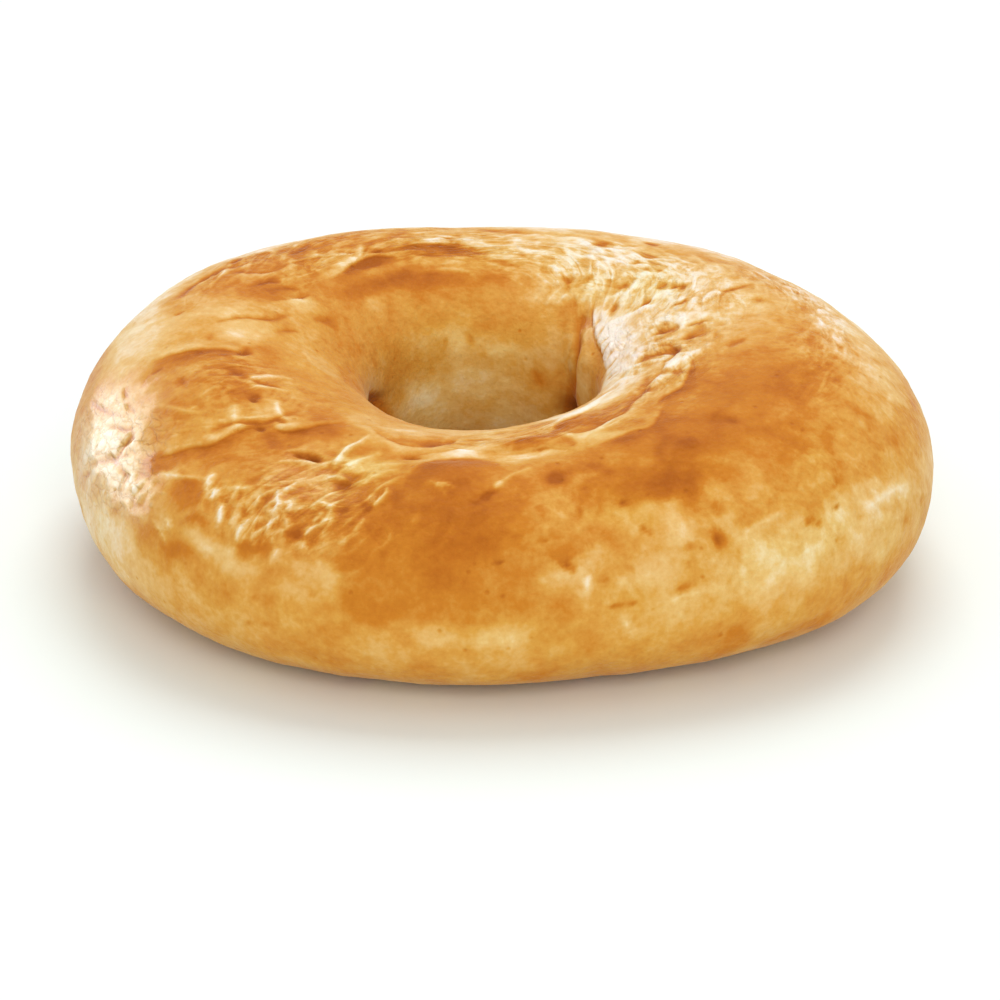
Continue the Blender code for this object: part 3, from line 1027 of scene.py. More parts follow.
def unbroken(angles, axis, seams):
    """1 for each link from a grid point to the next along an axis, and 0 where the link crosses a seam."""
    following = np.roll(angles, -1, axis)
    crossed = [(turned_from(angles, seam) <= 0) & (turned_from(following, seam) > 0) for seam in seams]
    close = [np.abs(turned_from(angles, seam)) < SEAM_NEAR for seam in seams]
    return 1 - np.max([both & near for both, near in zip(crossed, close)], 0)


links_round, links_over = unbroken(turn, 0, SKIN_SEAMS), unbroken(over, 1, (UNDER_SEAM,))


def differences(values):
    """How much the value grows along each unbroken link round the ring, and along each one over it."""
    return links_round * (np.roll(values, -1, 0) - values), links_over * (np.roll(values, -1, 1) - values)


def gathered(round_part, over_part):
    """For each point, what its arriving links hold less what its leaving links hold."""
    return np.roll(round_part, 1, 0) - round_part + np.roll(over_part, 1, 1) - over_part


def laid_out(wanted_round, wanted_over):
    """Values whose differences along the links come nearest, in least squares, to the wanted ones.

    This is the method of conjugate gradients. Each pass adds the best share of a heading, then bends the
    heading towards what is still missing.
    """
    values = np.zeros(plain.shape[:2])
    missing = gathered(links_round * wanted_round, links_over * wanted_over)
    heading = missing
    size = (missing**2).sum()
    for _ in range(LAYING_STEPS):
        pulled = gathered(*differences(heading))
        share = size / (heading * pulled).sum()
        values = values + share * heading
        missing = missing - share * pulled
        before, size = size, (missing**2).sum()
        heading = missing + size / before * heading
    return values


round_mm, over_mm = next_step(folded, 0), next_step(folded, 1)
along_mm = laid_out(round_mm * np.cos(drawn_way), over_mm * np.sin(drawn_way))
across_mm = laid_out(-round_mm * np.sin(drawn_way), over_mm * np.cos(drawn_way))
from_seams = np.min([np.abs(turned_from(turn, seam)) for seam in SKIN_SEAMS], 0)
from_under = np.abs(turned_from(over, UNDER_SEAM))
drawn = np.clip((from_seams - SEAM_BARE) / SEAM_FADE, 0, 1) * np.clip(from_under / UNDER_FADE, 0, 1)
drawn *= one_way * (1 - sum(share * spot(*where) for *where, share in PLAINER))
print("skin laid out, mm:", np.ptp(along_mm).round(), "along by", np.ptp(across_mm).round(), "across")

# %% [markdown]
# The net's ridges are the borders between cells, as in a honeycomb that was pulled longer one way. Random
# spots are strewn in space, and each point of the crust belongs to its nearest spot. Small cells make the
# lens-shaped hollows of the net. Large ones give whole pieces of the crust a tone of their own.

# %% Cells
# How many cubes along each axis are searched for the nearest spots
NEAR_CUBES = 5
# The size of the bumps that bend the cells' borders, for cells of size 1
WARP_SIZE = 0.9


def unit_steps(points, axis):
    """The unit direction from each grid point's neighbour before it to the one after it."""
    step = np.roll(points, -1, axis) - np.roll(points, 1, axis)
    return step / np.linalg.norm(step, axis=-1, keepdims=True)


way_round, way_over = np.cos(drawn_way)[..., None], np.sin(drawn_way)[..., None]
way = way_round * unit_steps(folded, 0) + way_over * unit_steps(folded, 1)


def cells(size_mm, stretch, warp_mm, seed):
    """Cells round one random spot in each cube of space, as a distance to their border and a tone.

    A point belongs to its nearest spot. Distances along the drawn way count for 1 / stretch, so the cells
    are long that way. The border is where the two nearest spots are equally far, so the difference of the
    two distances, in mm, is 0 there. The tone is a random number from 0 to 1 for the whole cell.
    """
    random = np.random.default_rng(seed)
    spots = random.random((CUBE_TABLE,) * 3 + (3,))
    tones = random.random((CUBE_TABLE,) * 3)
    warp = np.stack([space_noise(plain, WARP_SIZE * size_mm * MM, seed + axis) for axis in range(3)], -1)
    scaled = (folded + warp_mm * MM * warp) / (size_mm * MM)
    cube = np.floor(scaled).astype(int)
    nearest, second = np.full((2, *plain.shape[:2]), float(NEAR_CUBES))
    tone = np.zeros(plain.shape[:2])
    for step in np.ndindex(NEAR_CUBES, NEAR_CUBES, NEAR_CUBES):
        at = cube + np.array(step) - NEAR_CUBES // 2
        index = tuple(np.moveaxis(at % CUBE_TABLE, -1, 0))
        apart = at + spots[index] - scaled
        along = (apart * way).sum(-1)
        distance = np.sqrt((apart**2).sum(-1) - along**2 * (1 - 1 / stretch**2))
        tone = np.where(distance < nearest, tones[index], tone)
        second = np.minimum(second, np.maximum(distance, nearest))
        nearest = np.minimum(nearest, distance)
    return (second - nearest) * size_mm, tone


lens_edge, lens_tone = cells(size_mm=2.9, stretch=2.6, warp_mm=0.9, seed=61)
piece_edge, piece_tone = cells(size_mm=6.5, stretch=1.6, warp_mm=3.0, seed=71)
print("cells, mm from border to middle:", lens_edge.max().round(2), piece_edge.max().round(2))

# %% [markdown]
# Now the patterns become heights. The net, the broad ridges and the threads between them count where the
# skin is wrinkled. Elsewhere it may only be finely crinkled, like thin paper. Small blisters are everywhere.
# At the end the base is pressed flat, as the tray does it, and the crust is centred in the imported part's box.

# %% Wrinkles
# Where the skin is wrinkled like a net, and where it is only crinkled: direction, place, half widths, and
# how much
WRINKLED = (
    (35, 116, 40, 28, 0.85),
    (350, 122, 24, 18, 0.9),
    (75, 98, 35, 26, 0.65),
    (115, 104, 28, 14, 0.7),
    (148, 96, 20, 22, 0.6),
    (318, 112, 16, 12, 0.6),
    (278, 102, 28, 14, 0.9),
    (212, 82, 18, 24, 0.75),
    (244, 66, 9, 16, 0.8),
    (238, 42, 13, 20, 0.9),
    (20, 68, 50, 15, 0.8),
    (130, 80, 50, 10, 0.7),
    (18, 150, 26, 9, 0.7),
    (62, 28, 26, 20, 0.5),
    (136, 34, 30, 18, 0.5),
    (330, 143, 24, 10, 0.7),
)
CRINKLED = (
    (202, 28, 16, 26, 0.8),
    (216, 22, 9, 18, 0.8),
    (20, 152, 30, 9, 0.9),
    (330, 148, 20, 8, 0.5),
    (213, 84, 14, 18, 0.8),
    (345, 66, 14, 14, 0.4),
    (240, 46, 12, 20, 0.8),
    (282, 106, 34, 16, 0.9),
    (10, 24, 40, 16, 0.5),
    (100, 30, 36, 22, 0.6),
    (160, 16, 30, 20, 0.6),
)
# The half width of the net's ridges in mm
NET_WIDTH = 0.55
# The heights in mm of the net, of the broad ridges and of the threads between them
WRINKLE_HEIGHTS = (0.09, 0.16, 0.08)
# Cells with a tone over this one are sunk, by this many mm for each 1 of tone
HOLLOW_FROM = 0.4
HOLLOW_DEPTH = 0.06
# The height in mm of the crinkles, and how much of the threads they hold
CRINKLE_HEIGHT = 0.11
CRINKLE_THREADS = 0.6
# How thin the ridges and the crinkles are
RIDGE_THINNESS, CRINKLE_THINNESS = 1.3, 1.2
# Sizes and heights in mm, and seeds
BLISTERS = (
    (5, 0.10, 37),
    (2.2, 0.05, 35),
    (1.3, 0.03, 36),
)
BASE_FLATTENED = 0.6 * MM
wrinkled, crinkled = amount(WRINKLED), amount(CRINKLED)
net = np.exp(-((lens_edge / NET_WIDTH) ** 2))
fold = drawn_noise(size_mm=2.4, reach_mm=5.0, seed=31)
thread = drawn_noise(size_mm=1.3, reach_mm=3.0, seed=33)
broad, threads = ridges(fold, RIDGE_THINNESS), ridges(thread, RIDGE_THINNESS)
crinkles = ridges(drawn_noise(size_mm=1.3, reach_mm=2.6, seed=34), CRINKLE_THINNESS)
wrinkles = wrinkled * lively * sum(
    height * clear * (ridge - ridge.mean())
    for height, clear, ridge in zip(WRINKLE_HEIGHTS, (1, one_way, one_way), (net, broad, threads))
)
wrinkles -= HOLLOW_DEPTH * wrinkled * np.clip(lens_tone - HOLLOW_FROM, 0, 1) * (1 - net)
crinkles = crinkles - crinkles.mean() + CRINKLE_THREADS * (threads - threads.mean())
wrinkles += crinkled * CRINKLE_HEIGHT * crinkles
blisters = sum(height * space_noise(plain, size * MM, seed) for size, height, seed in BLISTERS)
relief = creases + wrinkles + blisters
crust = folded + normals * (relief * MM)[..., None]
crust[..., 2] = np.maximum(crust[..., 2] - BASE_FLATTENED, 0)
crust[..., :2] += box_middle[:2] - (crust.min((0, 1)) + crust.max((0, 1)))[:2] / 2
print("relief, mm:", relief.min().round(2), relief.max().round(2))

# %% [markdown]
# ## How far each part is baked
# One number for each point says how brown the crust is there, and a ramp of colours turns it into straw,
# gold, orange or brown. The same number also holds painted light and shade. What stood up in the oven
# browned, and what was tucked into a fold stayed pale. The thin crests of the wrinkles are pale too, partly
# because the skin is stretched over them and partly as painted highlight, and the hollows between them are
# darker, partly as painted shade.

# %% Patches that are baked more or less
# Direction, place, half widths in degrees, and how much more baked, below zero for paler. Some rows are
# painted light, marked where they stand
BAKED_AND_PAINTED_LIGHT = (
    # Front
    (263, 74, 6.5, 11, 0.32),
    (260, 47, 13, 20, 0.24),
    (262, 14, 20, 20, 0.14),
    (276, 60, 20, 14, 0.10),
    (272, 42, 6, 18, 0.08),
    (297, 52, 6, 8, 0.22),
    (302, 66, 6, 7, 0.16),
    (300, 72, 16, 14, 0.16),
    (322, 80, 18, 24, 0.24),
    (277, 93, 7, 4, 0.20),
    (293, 104, 9, 7, 0.12),
    (264, 92, 9, 4, -0.22),
    (262, 108, 14, 6, -0.20),
    (268, 120, 18, 9, -0.22),
    (292, 124, 12, 8, -0.16),
    (278, 83, 6, 3, -0.16),
    (286, 45, 4.2, 11, -0.10),
    (285.5, 67, 4, 3, 0.16),
    (294.2, 53, 4, 5, 0.08),
    (293.5, 31, 3.5, 6, -0.16),
    (277.8, 22, 3, 5, -0.14),
    (290, 20, 5, 6, -0.12),
    (265.5, -2, 8, 5, -0.16),
    (266.8, 38, 4, 8, 0.12),
    (280, 32, 3, 4, 0.14),
    (281, 22, 6, 14, -0.10),
    (304, 34, 2.4, 4, 0.10),
    (328, 29, 3.4, 4, 0.14),
    (305, 20, 16, 10, -0.20),
    (325, 20, 12, 9, -0.16),
    (310, 4, 24, 12, -0.20),
    (350, 6, 20, 20, -0.14),
    (255, -10, 20, 8, -0.08),
    (207, -8, 22, 18, -0.28),
    # Front left
    (224, 36, 3.4, 6, 0.32),
    (228, 27, 2.0, 3.5, 0.26),
    (214, 36, 2.6, 3.6, 0.30),
    (227, 14, 3.0, 4.5, 0.22),
    (222.5, 42, 1.8, 2.4, 0.20),
    (215, 42, 2.0, 2.0, 0.20),
    (245.2, 62, 1.5, 4.6, 0.16),
    (242.2, 35.5, 2.0, 2.6, 0.34),
    (236.6, 28.5, 1.7, 3.0, 0.24),
    (249.8, 52.5, 1.1, 2.4, 0.34),
    (229, 56, 6, 6, 0.10),
    (230, 71, 6, 5, 0.24),
    (234, 88, 3.0, 11, 0.24),
    (230.5, 18, 3.0, 4, -0.16),
    (235.5, 20.5, 3.0, 4, -0.20),
    (244.8, 22, 4.5, 4, -0.16),
    (240, 14, 10, 4, -0.10),
    (247, 74, 5, 10, -0.22),
    (241, 80, 1.6, 14, -0.10),
    # Left
    (206, 78, 8, 28, 0.06),
    (206, 56, 8, 8, 0.10),
    (215.5, 83, 3.5, 4, 0.16),
    (223, 84, 4, 10, -0.16),
    (195, 78, 1.6, 14, 0.10),
    (183, 80, 9, 38, -0.16),
    (191, 102, 3.5, 10, -0.16),
    (188, 94, 5, 6, -0.08),
    # Partly painted highlight: paler under the gloss at the left end, so that the shine there reads whiter
    (202, 30, 11, 22, -0.32),
    # Painted reflection: paler along the outline at the left and back left, for white surroundings seen at a
    # grazing angle
    (172, 54, 24, 14, -0.30),
    (153, 62, 12, 9, -0.18),
    # Back
    (103, 107, 12, 4, 0.26),
    (124, 114, 6, 3, 0.34),
    (118, 130, 34, 6, 0.24),
    (142, 145, 30, 16, 0.04),
    (161, 104, 6, 7, 0.22),
    (113, 102, 6, 2.0, 0.22),
    (132, 96, 22, 10, 0.10),
    (98, 140, 14, 6, 0.12),
    # Painted reflection: paler along the outline at the back, for white surroundings seen at a grazing angle
    (62, 70, 22, 9, -0.36),
    (88, 70, 16, 7, -0.30),
    (108, 71, 12, 8, -0.40),
    (134, 70, 18, 8, -0.38),
    # The outer face at the back
    (84, 22, 14, 16, 0.20),
    (120, 36, 16, 14, 0.22),
    (150, 14, 12, 12, -0.22),
    (52, 20, 12, 14, -0.20),
    (30, 30, 12, 14, 0.14),
    (104, 4, 26, 12, -0.16),
    # Right
    (345, 130, 2.5, 11, 0.12),
    (2, 130, 2.2, 7, 0.08),
    # Painted light: the lip over the hole on the right, in the rows at 336, 350 and 321 here and at 14, 150
    # below, is painted pale as if lit from the back left
    (336, 148, 18, 12, -0.40),
    (350, 161, 20, 8, -0.42),
    (321, 137, 9, 7, -0.34),
    (300, 128, 16, 7, -0.22),
    (32, 114, 44, 30, -0.36),
    (14, 150, 30, 12, -0.46),
    # Painted reflection: paler along the outline on the right, for white surroundings seen at a grazing angle
    (8, 52, 30, 16, -0.26),
    (30, 66, 30, 9, -0.20),
    (75, 98, 25, 16, -0.24),
    (318, 126, 24, 12, -0.20),
    (342, 62, 4, 6, 0.20),
    (335, 52, 5, 10, 0.10),
    # The hole's wall
    (28, 172, 8, 8, -0.10),
    # Painted light: the wall low in the hole is painted paler, standing in for light that reaches down into it
    (96, 176, 50, 14, -0.16),
    (96, 200, 60, 16, -0.24),
    (104, 172, 5, 14, -0.08),
    (60, 184, 5, 5, 0.10),
    (140, 176, 14, 14, 0.06),
    (166, 137, 6, 4, 0.12),
)
# Painted shade in hollows too deep for light to reach: direction, place, half widths, and how dark
PAINTED_SHADE_SPOTS = (
    (45, 196, 7, 6, 1.0),
    (42, 178, 3, 10, 0.12),
    (160, 187, 16, 2.5, 0.7),
    (105, 218, 30, 7, 0.1),
    (237.9, 70.7, 1.3, 1.0, 0.75),
    (235.2, 69.8, 0.9, 0.7, 0.55),
    (225.3, 74, 0.7, 0.7, 0.5),
    (218, 83.4, 0.6, 0.8, 0.5),
    (254.4, 84.6, 1.4, 1.2, 0.3),
    (269.7, 30.4, 0.45, 0.6, 0.5),
    (318, 25.6, 0.5, 0.6, 0.3),
)
print(len(BAKED_AND_PAINTED_LIGHT), "patches and", len(PAINTED_SHADE_SPOTS), "dark hollows")

# %% [markdown]
# The patches are added to an even middle shade and to the browning beside the creases, which is partly
# painted shade. Each cell has a tone of its own, and whatever stands up from the crust right around it is a
# little paler and whatever lies below it a little darker: partly the crust's own colour, and partly painted
# highlight and painted shade.

# %% Baking
# The middle shade, and the share of its amount that each patch adds
BASE_SHADE = 0.52
PATCH_SHARE = 0.85
# Slow changes of shade: size in mm, strength and seed
SLOW_SHADES = (
    (8, 0.05, 41),
    (3, 0.05, 42),
)
# How much the tone of a large cell counts, and over how many mm from its border it sets in
PIECE_TONE = 0.16
PIECE_BORDER = 0.6
# How much the tone of a hollow in the net counts, its middle value, and how much paler the ridges are,
# partly as painted highlight
LENS_TONE = 0.14
LENS_MEAN = 0.45
NET_PALER = 0.10
# A crest that stands CREST_RISE mm over the crust around it is paler by CREST_SHADE, and a hollow as deep
# is darker by as much, less on smooth skin: partly the crust's own colour, partly painted highlight and
# painted shade
CREST_SHADE = 0.09
CREST_RISE = 0.10
CREST_MOST = 1.6
CREST_ON_SMOOTH = 0.35
# How many times the relief is softened, to give the crust around a crest
SOFTENINGS = 12
baked_and_painted_light = BASE_SHADE + crease_browning_and_shade + PATCH_SHARE * sum(much * patch(*where) for *where, much in BAKED_AND_PAINTED_LIGHT)
baked_and_painted_light += sum(much * space_noise(plain, size * MM, seed) for size, much, seed in SLOW_SHADES)
baked_and_painted_light += PIECE_TONE * (piece_tone - 0.5) * (1 - np.exp(-((piece_edge / PIECE_BORDER) ** 2)))
baked_and_painted_light += wrinkled * (LENS_TONE * (lens_tone - LENS_MEAN) * (1 - net) - NET_PALER * (net - net.mean()))
crests = np.clip((relief - softened(relief, SOFTENINGS)) / CREST_RISE, -CREST_MOST, CREST_MOST)
uneven = np.clip(wrinkled + crinkled, 0, 1)
baked_and_painted_light -= CREST_SHADE * crests * (CREST_ON_SMOOTH + (1 - CREST_ON_SMOOTH) * uneven)
painted_shade = np.clip(sum(much * spot(*where) for *where, much in PAINTED_SHADE_SPOTS), 0, 1)
print("baked:", baked_and_painted_light.min().round(2), baked_and_painted_light.max().round(2), "crests:", crests.std().round(2))

# %% [markdown]
# Two more numbers finish the picture. Boiled skin is glossy where it isn't browned, most of all at the left
# end. And some of the pale crust leans towards pink, near the brown parts, and some towards yellow.

# %% Gloss and blush
# Direction, place, half widths in degrees, and how much gloss, or how pink, below zero for yellow
GLOSSY = (
    (203, 30, 13, 28, 1.0),
    (214, 22, 6, 12, 0.5),
    (240, 52, 12, 22, 0.25),
    (18, 150, 26, 10, 0.5),
)
BLUSH = (
    # The pink in the rows at directions 150, 20 and 110, near the outline, is partly painted rim light
    (150, 88, 40, 16, 0.7),
    (206, 88, 14, 18, 0.5),
    (20, 68, 50, 14, 0.8),
    (110, 66, 60, 10, 0.7),
    (250, 106, 14, 8, 0.4),
    (335, 98, 20, 10, 0.4),
    (247, 72, 8, 16, -0.9),
    (45, 122, 30, 16, -0.7),
    (95, 180, 60, 26, -1.0),
    (290, 85, 12, 8, -0.4),
    (310, 16, 22, 14, -0.5),
    (287.5, 46, 4, 10, -0.8),
    (270, 0, 60, 20, -0.3),
    (188, 80, 12, 24, -0.4),
    (15, 152, 26, 10, 0.4),
)
# Gloss is full on pale skin, and browning and painted shade take it away
GLOSS_START, GLOSS_LOSS = 1.1, 1.5
# How much the blush varies from spot to spot, and how large the spots are
BLUSH_VARIES, BLUSH_BUMPS = 0.5, 7 * MM
glossy = np.clip(GLOSS_START - GLOSS_LOSS * np.clip(baked_and_painted_light - BASE_SHADE, 0, 1) - painted_shade, 0, 1)
glossy *= amount(GLOSSY)
blush = sum(much * patch(*where) for *where, much in BLUSH)
blush += BLUSH_VARIES * space_noise(plain, BLUSH_BUMPS, 51)
blush = np.clip(0.5 + 0.5 * blush, 0, 1)
print("glossy up to", glossy.max().round(2), "and blush about", blush.mean().round(2))

# %% [markdown]
# ## The crust's mesh
# The crust is one closed surface: a tube of quads through the grid, joined round both ways. The numbers
# worked out above go with its points as attributes, and the material reads them by name.

# %% Crust mesh
def ring_faces(stations, points):
    """The quads of a closed tube: each point, the next round the ring, the next over and back."""
    at, up = np.meshgrid(np.arange(stations), np.arange(points), indexing="ij")
    after, above = (at + 1) % stations, (up + 1) % points
    corners = (at * points + up, after * points + up, after * points + above, at * points + above)
    return np.stack(corners, -1).reshape(-1, 4)


def grid_mesh(name, points):
    """A smooth closed tube through a grid of points."""
    mesh = bpy.data.meshes.new(name)
    faces = ring_faces(*points.shape[:2])
    mesh.vertices.add(points.shape[0] * points.shape[1])
    mesh.vertices.foreach_set("co", points.astype(np.float32).ravel())
    mesh.loops.add(faces.size)
    mesh.loops.foreach_set("vertex_index", faces.astype(np.int32).ravel())
    mesh.polygons.add(len(faces))
    mesh.polygons.foreach_set("loop_start", np.arange(0, faces.size, 4, dtype=np.int32))
    mesh.update(calc_edges=True)
    mesh.validate()
    mesh.shade_smooth()
    return mesh


def add_values(mesh, name, values):
    """Stores one number for each point of the mesh, which a material reads by this name."""
    mesh.attributes.new(name, "FLOAT", "POINT").data.foreach_set("value", values.astype(np.float32).ravel())


crust_mesh = grid_mesh("crust", crust)
for name, values in {
    "baked_and_painted_light": baked_and_painted_light, "painted_shade": painted_shade, "blush": blush,
    "glossy": glossy, "wrinkled": wrinkled, "crinkled": crinkled,
    "along": along_mm, "across": across_mm, "drawn": drawn, "fold": fold, "thread": thread,
    "keen_side": keen_side, "keen_near": np.abs(keen_side), "keen_depth": keen_depth,
}.items():
    add_values(crust_mesh, name, values)
crust_piece = bpy.data.objects.new("crust", crust_mesh)
bpy.context.scene.collection.objects.link(crust_piece)
print("crust:", len(crust_mesh.polygons) * 2, "triangles")

# %% [markdown]
# ## The crust's finish
# Crust is nearly matt, and its colour runs deep: the browned parts hold almost no blue. The material adds
# what is finer than the mesh: mottling, pores and hair-fine creases. Gloss is a thin coat over the skin,
# so that it can be sharp while the crust under it stays nearly matt.

# %% Helpers for the material
material = bpy.data.materials.new("crust")
material.use_nodes = True
nodes, links = material.node_tree.nodes, material.node_tree.links
shader = nodes["Principled BSDF"]
# White light on browned crust would look grey, so there is little of it, and the sheen is warm
SHADER_VALUES = {
    "Specular IOR Level": 0.08,
    "Coat Roughness": 0.14,
    "Coat IOR": 1.45,
    "Subsurface Weight": 0.05,
    "Subsurface Scale": 1.5 * MM,
    "Subsurface Radius": (1.0, 0.45, 0.2),
    "Sheen Weight": 0.26,
    "Sheen Roughness": 0.22,
    "Sheen Tint": (1.0, 0.90, 0.76, 1),
}
for name, value in SHADER_VALUES.items():
    shader.inputs[name].default_value = value


def node(kind, inputs=(), **settings):
    """A new shader node. inputs pairs a socket with a value for it, or with the output that feeds it."""
    made = nodes.new("ShaderNode" + kind)
    for name, value in settings.items():
        setattr(made, name, value)
    for socket, value in dict(inputs).items():
        if isinstance(value, bpy.types.NodeSocket):
            links.new(value, made.inputs[socket])
        else:
            made.inputs[socket].default_value = value
    return made


def math(kind, a, b):
    """One operation on two numbers or outputs."""
    return node("Math", {0: a, 1: b}, operation=kind).outputs[0]


def times(*outputs):
    """The product of several numbers or outputs."""
    product = outputs[0]
    for output in outputs[1:]:
        product = math("MULTIPLY", product, output)
    return product


def summed(*parts):
    """The sum of pairs of an output and the strength that it is multiplied by."""
    total = 0
    for output, strength in parts:
        total = node("Math", {0: output, 1: strength, 2: total}, operation="MULTIPLY_ADD").outputs[0]
    return total


def value_of(name):
    """The crust's own number of this name."""
    return node("Attribute", attribute_name=name).outputs["Fac"]


def ramp(factor, stops):
    """A colour for each value of the factor, blended between the stops."""
    made = node("ValToRGB", {"Fac": factor})
    while len(made.color_ramp.elements) < len(stops):
        made.color_ramp.elements.new(0.5)
    for element, (at, color) in zip(made.color_ramp.elements, stops):
        element.position = at
        element.color = (*color, 1)
    return made.outputs["Color"]


def noise(size_mm, detail, **inputs):
    """Noise in space whose lumps are about size_mm across, varying about 0.5."""
    scale = 1 / (size_mm * MM)
    return node("TexNoise", {"Vector": in_space, "Scale": scale, "Detail": detail, **inputs}).outputs["Fac"]


def centred(output):
    """An output that varies about a half, made to vary about 0."""
    return math("SUBTRACT", output, 0.5)


def falls(output, width):
    """1 where the output is 0, falling smoothly to 0 at the width."""
    made = node("MapRange", {"Value": output, "From Min": 0, "From Max": width, "To Min": 1, "To Max": 0})
    made.interpolation_type = "SMOOTHSTEP"
    return made.outputs["Result"]


in_space = node("TexCoord").outputs["Object"]
is_wrinkled, is_drawn, is_glossy = value_of("wrinkled"), value_of("drawn"), value_of("glossy")
# How much of the fine relief even smooth skin has
LEAST_RUFFLED = 0.02
ruffled = math("MAXIMUM", is_wrinkled, value_of("crinkled"))
ruffled = math("ADD", LEAST_RUFFLED, times(1 - LEAST_RUFFLED, ruffled))
on_net = times(is_wrinkled, is_drawn)
on_smooth = times(is_drawn, math("SUBTRACT", 1, is_wrinkled))
print("helpers made with", len(nodes), "nodes")

# %% [markdown]
# Two kinds of pattern vary the browning. Plain noise in space mottles the whole crust. On the laid-out skin
# the noise has long lumps, so it makes streaks and blotches that follow the wrinkles. Some of the patterns
# are sharpened: most of a crust is a little darker or a little paler, and not much of it is in between.

# %% Streaks, blotches and scales
SHARP_FROM, SHARP_TO = 0.45, 0.55


def on_skin(along_size, across_size):
    """The place on the laid-out skin, counted in lumps of the given sizes in mm."""
    along, across = value_of("along"), value_of("across")
    counted = {0: math("DIVIDE", along, along_size), 1: math("DIVIDE", across, across_size)}
    return node("CombineXYZ", counted).outputs[0]


def skin_noise(along_size, across_size, detail):
    """Noise on the laid-out skin, with lumps that are long the way it was drawn."""
    at = on_skin(along_size, across_size)
    inputs = {"Vector": at, "Scale": 1, "Detail": detail, "Roughness": 0.55, "Distortion": 0.5}
    return node("TexNoise", inputs, noise_dimensions="2D").outputs["Fac"]


def sharp(output):
    """-1 or 1 for most values of a noise, with a narrow crossing between them about a half."""
    reach = {"Value": output, "From Min": SHARP_FROM, "From Max": SHARP_TO, "To Min": -1, "To Max": 1}
    return node("MapRange", reach).outputs["Result"]


mottle = centred(noise(0.9, 3, Roughness=0.65))
broad_mottle = centred(noise(3.6, 3, Roughness=0.5))
streak = times(centred(skin_noise(5.0, 0.9, 3)), on_net)
fine_streak = centred(skin_noise(1.8, 0.42, 2))
blotch = times(sharp(skin_noise(5.5, 1.9, 4)), on_net)
fine_blotch = times(sharp(skin_noise(2.6, 0.8, 3)), on_net)
scale = times(sharp(noise(4.2, 3, Roughness=0.45, Distortion=0.8)), on_smooth)
fine_scale = times(sharp(noise(1.8, 2, Distortion=0.8)), on_smooth)
print("patterns use", len(nodes), "nodes so far")

# %% [markdown]
# Hair-fine lines would need a mesh several times as fine. But the mesh holds smooth numbers that pass through
# 0 just where such a line should run, and they are blended evenly between the points. So the material draws
# the line where the number is near 0: a pale crest with a brown foot beside it for each wrinkle, and the
# keen line of each crease. The brown foot and the dark keen lines are painted shade, and the pale crest and
# the pale keen lines are partly painted highlight.

# %% Hair-fine lines
# In spreads of the noise: how far a crest wavers and reaches, where its foot lies, and how far that reaches
CREST_WAVER = 0.35
CREST_REACH = 0.50
FOOT_AT = 0.75
FOOT_REACH = 0.40
# How far a keen line reaches to each side, in mm
KEEN_WIDTH = 0.30
# A keen line keeps its strength up to this many mm from its crease, and is gone after this many more
KEEN_NEAR, KEEN_FADE = 0.45, 0.40
broken = times(noise(2.6, 2), on_net)


def size_of(output):
    """How far an output is from 0."""
    return math("ABSOLUTE", output, 0)


def crest_lines(name):
    """A thin line where a noise of the mesh passes 0, and a second line beside it, each from 0 to 1."""
    off = summed((value_of(name), 1), (centred(noise(0.8, 2)), CREST_WAVER))
    beside = size_of(math("ADD", off, FOOT_AT))
    return times(falls(size_of(off), CREST_REACH), broken), times(falls(beside, FOOT_REACH), broken)


fold_crest, fold_foot = crest_lines("fold")
thread_crest, thread_foot = crest_lines("thread")
crest = summed((fold_crest, 1), (thread_crest, 0.6))
foot = summed((fold_foot, 1), (thread_foot, 0.5))
keen_width = falls(size_of(value_of("keen_side")), KEEN_WIDTH)
keen_fade = falls(math("SUBTRACT", value_of("keen_near"), KEEN_NEAR), KEEN_FADE)
keen = times(keen_width, value_of("keen_depth"), keen_fade)
print("with the lines,", len(nodes), "nodes")

# %% [markdown]
# The smallest things are round. Brown specks are scattered everywhere, and tiny pale bubbles stand where the
# skin is wrinkled or crinkled. The glossy skin is a film that drew together as it dried, into small domes
# with grooves between them.

# %% Specks, bubbles and film
# How far the round spots are apart in mm, and what part of that they reach from their middle
SPECKS = (3.6, 0.12)
BUBBLES = (2.0, 0.26)
# How long and wide the film's domes are, in mm
FILM_SIZE = (2.4, 1.5)
# How many lumps in a metre the noise has that bends the film's grooves
FILM_BENDS = 700
# How far from the border a groove reaches and a dome goes on rising, for domes of size 1
GROOVE_REACH = 0.15
DOME_REACH = 0.4


def round_spots(apart_mm, share):
    """Round spots in space, 1 in their middle and 0 at the share of the way between them."""
    spots = node("TexVoronoi", {"Vector": in_space, "Scale": 1 / (apart_mm * MM)})
    return falls(spots.outputs["Distance"], share)


speck = round_spots(*SPECKS)
bubble = times(round_spots(*BUBBLES), ruffled)
bends = node("TexNoise", {"Vector": in_space, "Scale": FILM_BENDS}).outputs["Color"]
film_spot = node("VectorMath", {0: on_skin(*FILM_SIZE), 1: bends}, operation="ADD").outputs[0]
film_kind = {"feature": "DISTANCE_TO_EDGE", "voronoi_dimensions": "2D"}
from_groove = node("TexVoronoi", {"Vector": film_spot, "Scale": 1.0}, **film_kind).outputs["Distance"]
filmed = times(is_glossy, is_drawn)
film_groove = times(falls(from_groove, GROOVE_REACH), filmed, noise(4.0, 2))
film_dome = times(math("MINIMUM", from_groove, DOME_REACH), filmed)
print("with the round spots and the film,", len(nodes), "nodes")

# %% [markdown]
# All of it adds up to one browning, and the ramp turns that into colour. The ramp's stops are those of a
# crust that browns: cream, straw, gold, orange and brown, each with less blue than the one before it.
# Last, the deepest hollows are mixed towards a dark colour, as painted shade.

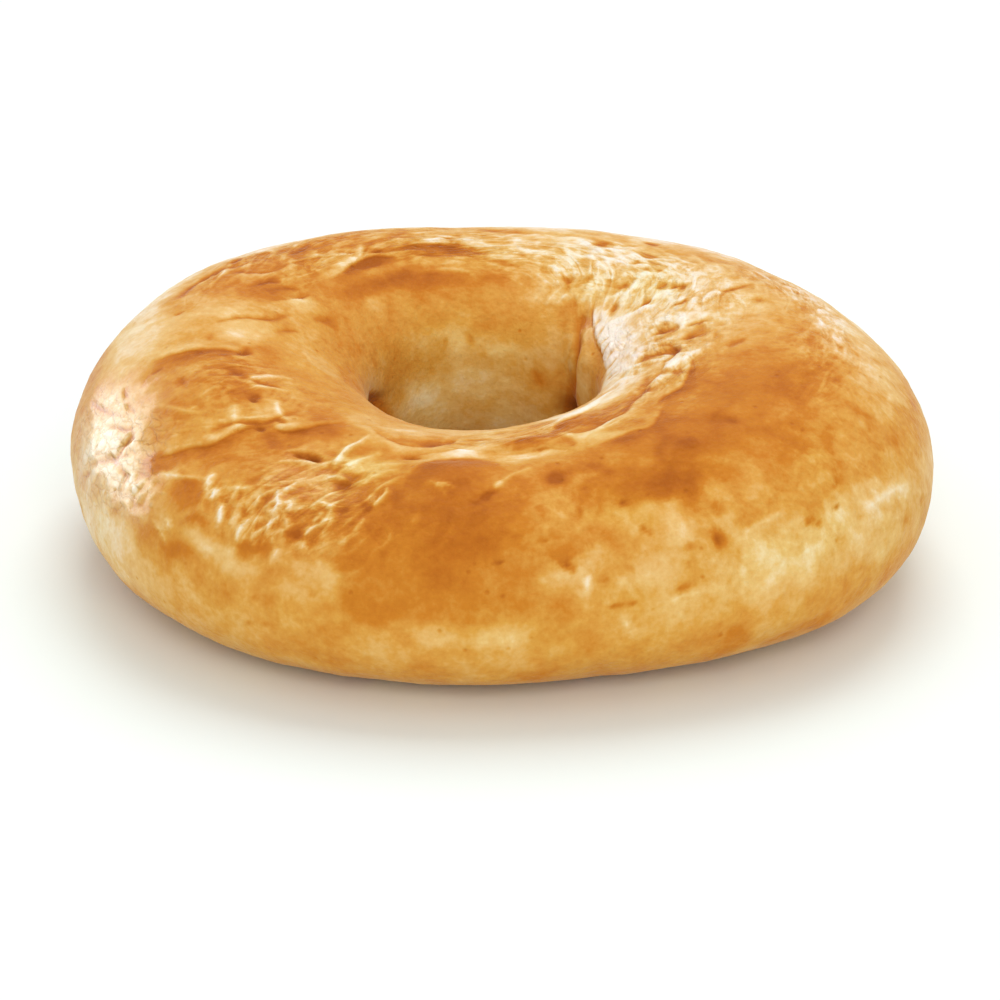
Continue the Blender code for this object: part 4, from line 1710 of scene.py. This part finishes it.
# %% The crust's colour
CRUST_STOPS = (
    (0.0, (0.96, 0.89, 0.80)),
    (0.16, (0.90, 0.74, 0.52)),
    (0.32, (0.80, 0.52, 0.205)),
    (0.48, (0.70, 0.35, 0.068)),
    (0.64, (0.60, 0.215, 0.020)),
    (0.80, (0.51, 0.155, 0.012)),
    (1.0, (0.40, 0.105, 0.007)),
)
BLUSH_STOPS = (
    (0.0, (0.98, 1.0, 0.80)),
    (0.5, (1.0, 0.98, 0.92)),
    (1.0, (1.0, 0.95, 0.97)),
)
# The colour that the painted shade in the deepest hollows goes towards
PAINTED_SHADE_COLOR = (0.24, 0.062, 0.006, 1)
# foot is painted shade; crest is partly painted highlight; keen darkens as painted shade and pales as painted
# highlight
browning = summed(
    (value_of("baked_and_painted_light"), 1),
    (mottle, 0.20),
    (broad_mottle, 0.21),
    (blotch, 0.075),
    (fine_blotch, 0.045),
    (streak, 0.16),
    (scale, 0.034),
    (fine_scale, 0.016),
    (foot, 0.20),
    (crest, -0.17),
    (keen, 0.24),
    (film_groove, 0.20),
    (speck, 0.15),
    (bubble, -0.10),
)
# A Mix node for colours has its factor at socket 0, its two colours at 6 and 7, and its result at 2
tints = {0: 1.0, 6: ramp(browning, CRUST_STOPS), 7: ramp(value_of("blush"), BLUSH_STOPS)}
tinted = node("Mix", tints, data_type="RGBA", blend_type="MULTIPLY").outputs[2]
color = node("Mix", {0: value_of("painted_shade"), 6: tinted, 7: PAINTED_SHADE_COLOR}, data_type="RGBA").outputs[2]
links.new(color, shader.inputs["Base Color"])
print("browning from", CRUST_STOPS[0], "to", CRUST_STOPS[-1])

# %% [markdown]
# The same patterns are raised or sunk by a fraction of a millimetre in a bump, with pores and dents all over
# and pebbles on the wrinkles. A glossy place has a coat, and is smoother under it.

# %% The crust's fine relief and gloss
# The coat's weight on glossy skin, the roughness of matt crust, and how much of that gloss takes away
COAT = 0.9
MATT = 0.58
GLOSS_SMOOTHS = 0.15
height = summed(
    (centred(noise(0.7, 3, Roughness=0.6)), 0.18),
    (centred(noise(1.9, 2)), 0.22),
    (times(centred(noise(1.3, 3, Roughness=0.55)), is_wrinkled), 0.30),
    (times(streak, ruffled, is_drawn), 0.30),
    (times(fine_streak, ruffled, is_drawn), 0.16),
    (crest, 0.05),
    (foot, -0.05),
    (keen, -0.10),
    (film_groove, -0.16),
    (film_dome, 0.45),
    (speck, -0.10),
    (bubble, 0.14),
)
bump = node("Bump", {"Strength": 1.0, "Distance": MM, "Height": height})
links.new(bump.outputs["Normal"], shader.inputs["Normal"])
links.new(times(is_glossy, COAT), shader.inputs["Coat Weight"])
links.new(math("SUBTRACT", MATT, times(is_glossy, GLOSS_SMOOTHS)), shader.inputs["Roughness"])
crust_mesh.materials.append(material)
print("material with", len(nodes), "nodes")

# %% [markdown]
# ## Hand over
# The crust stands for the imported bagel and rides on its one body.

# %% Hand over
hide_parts("bagel")
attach(crust_piece, "root")
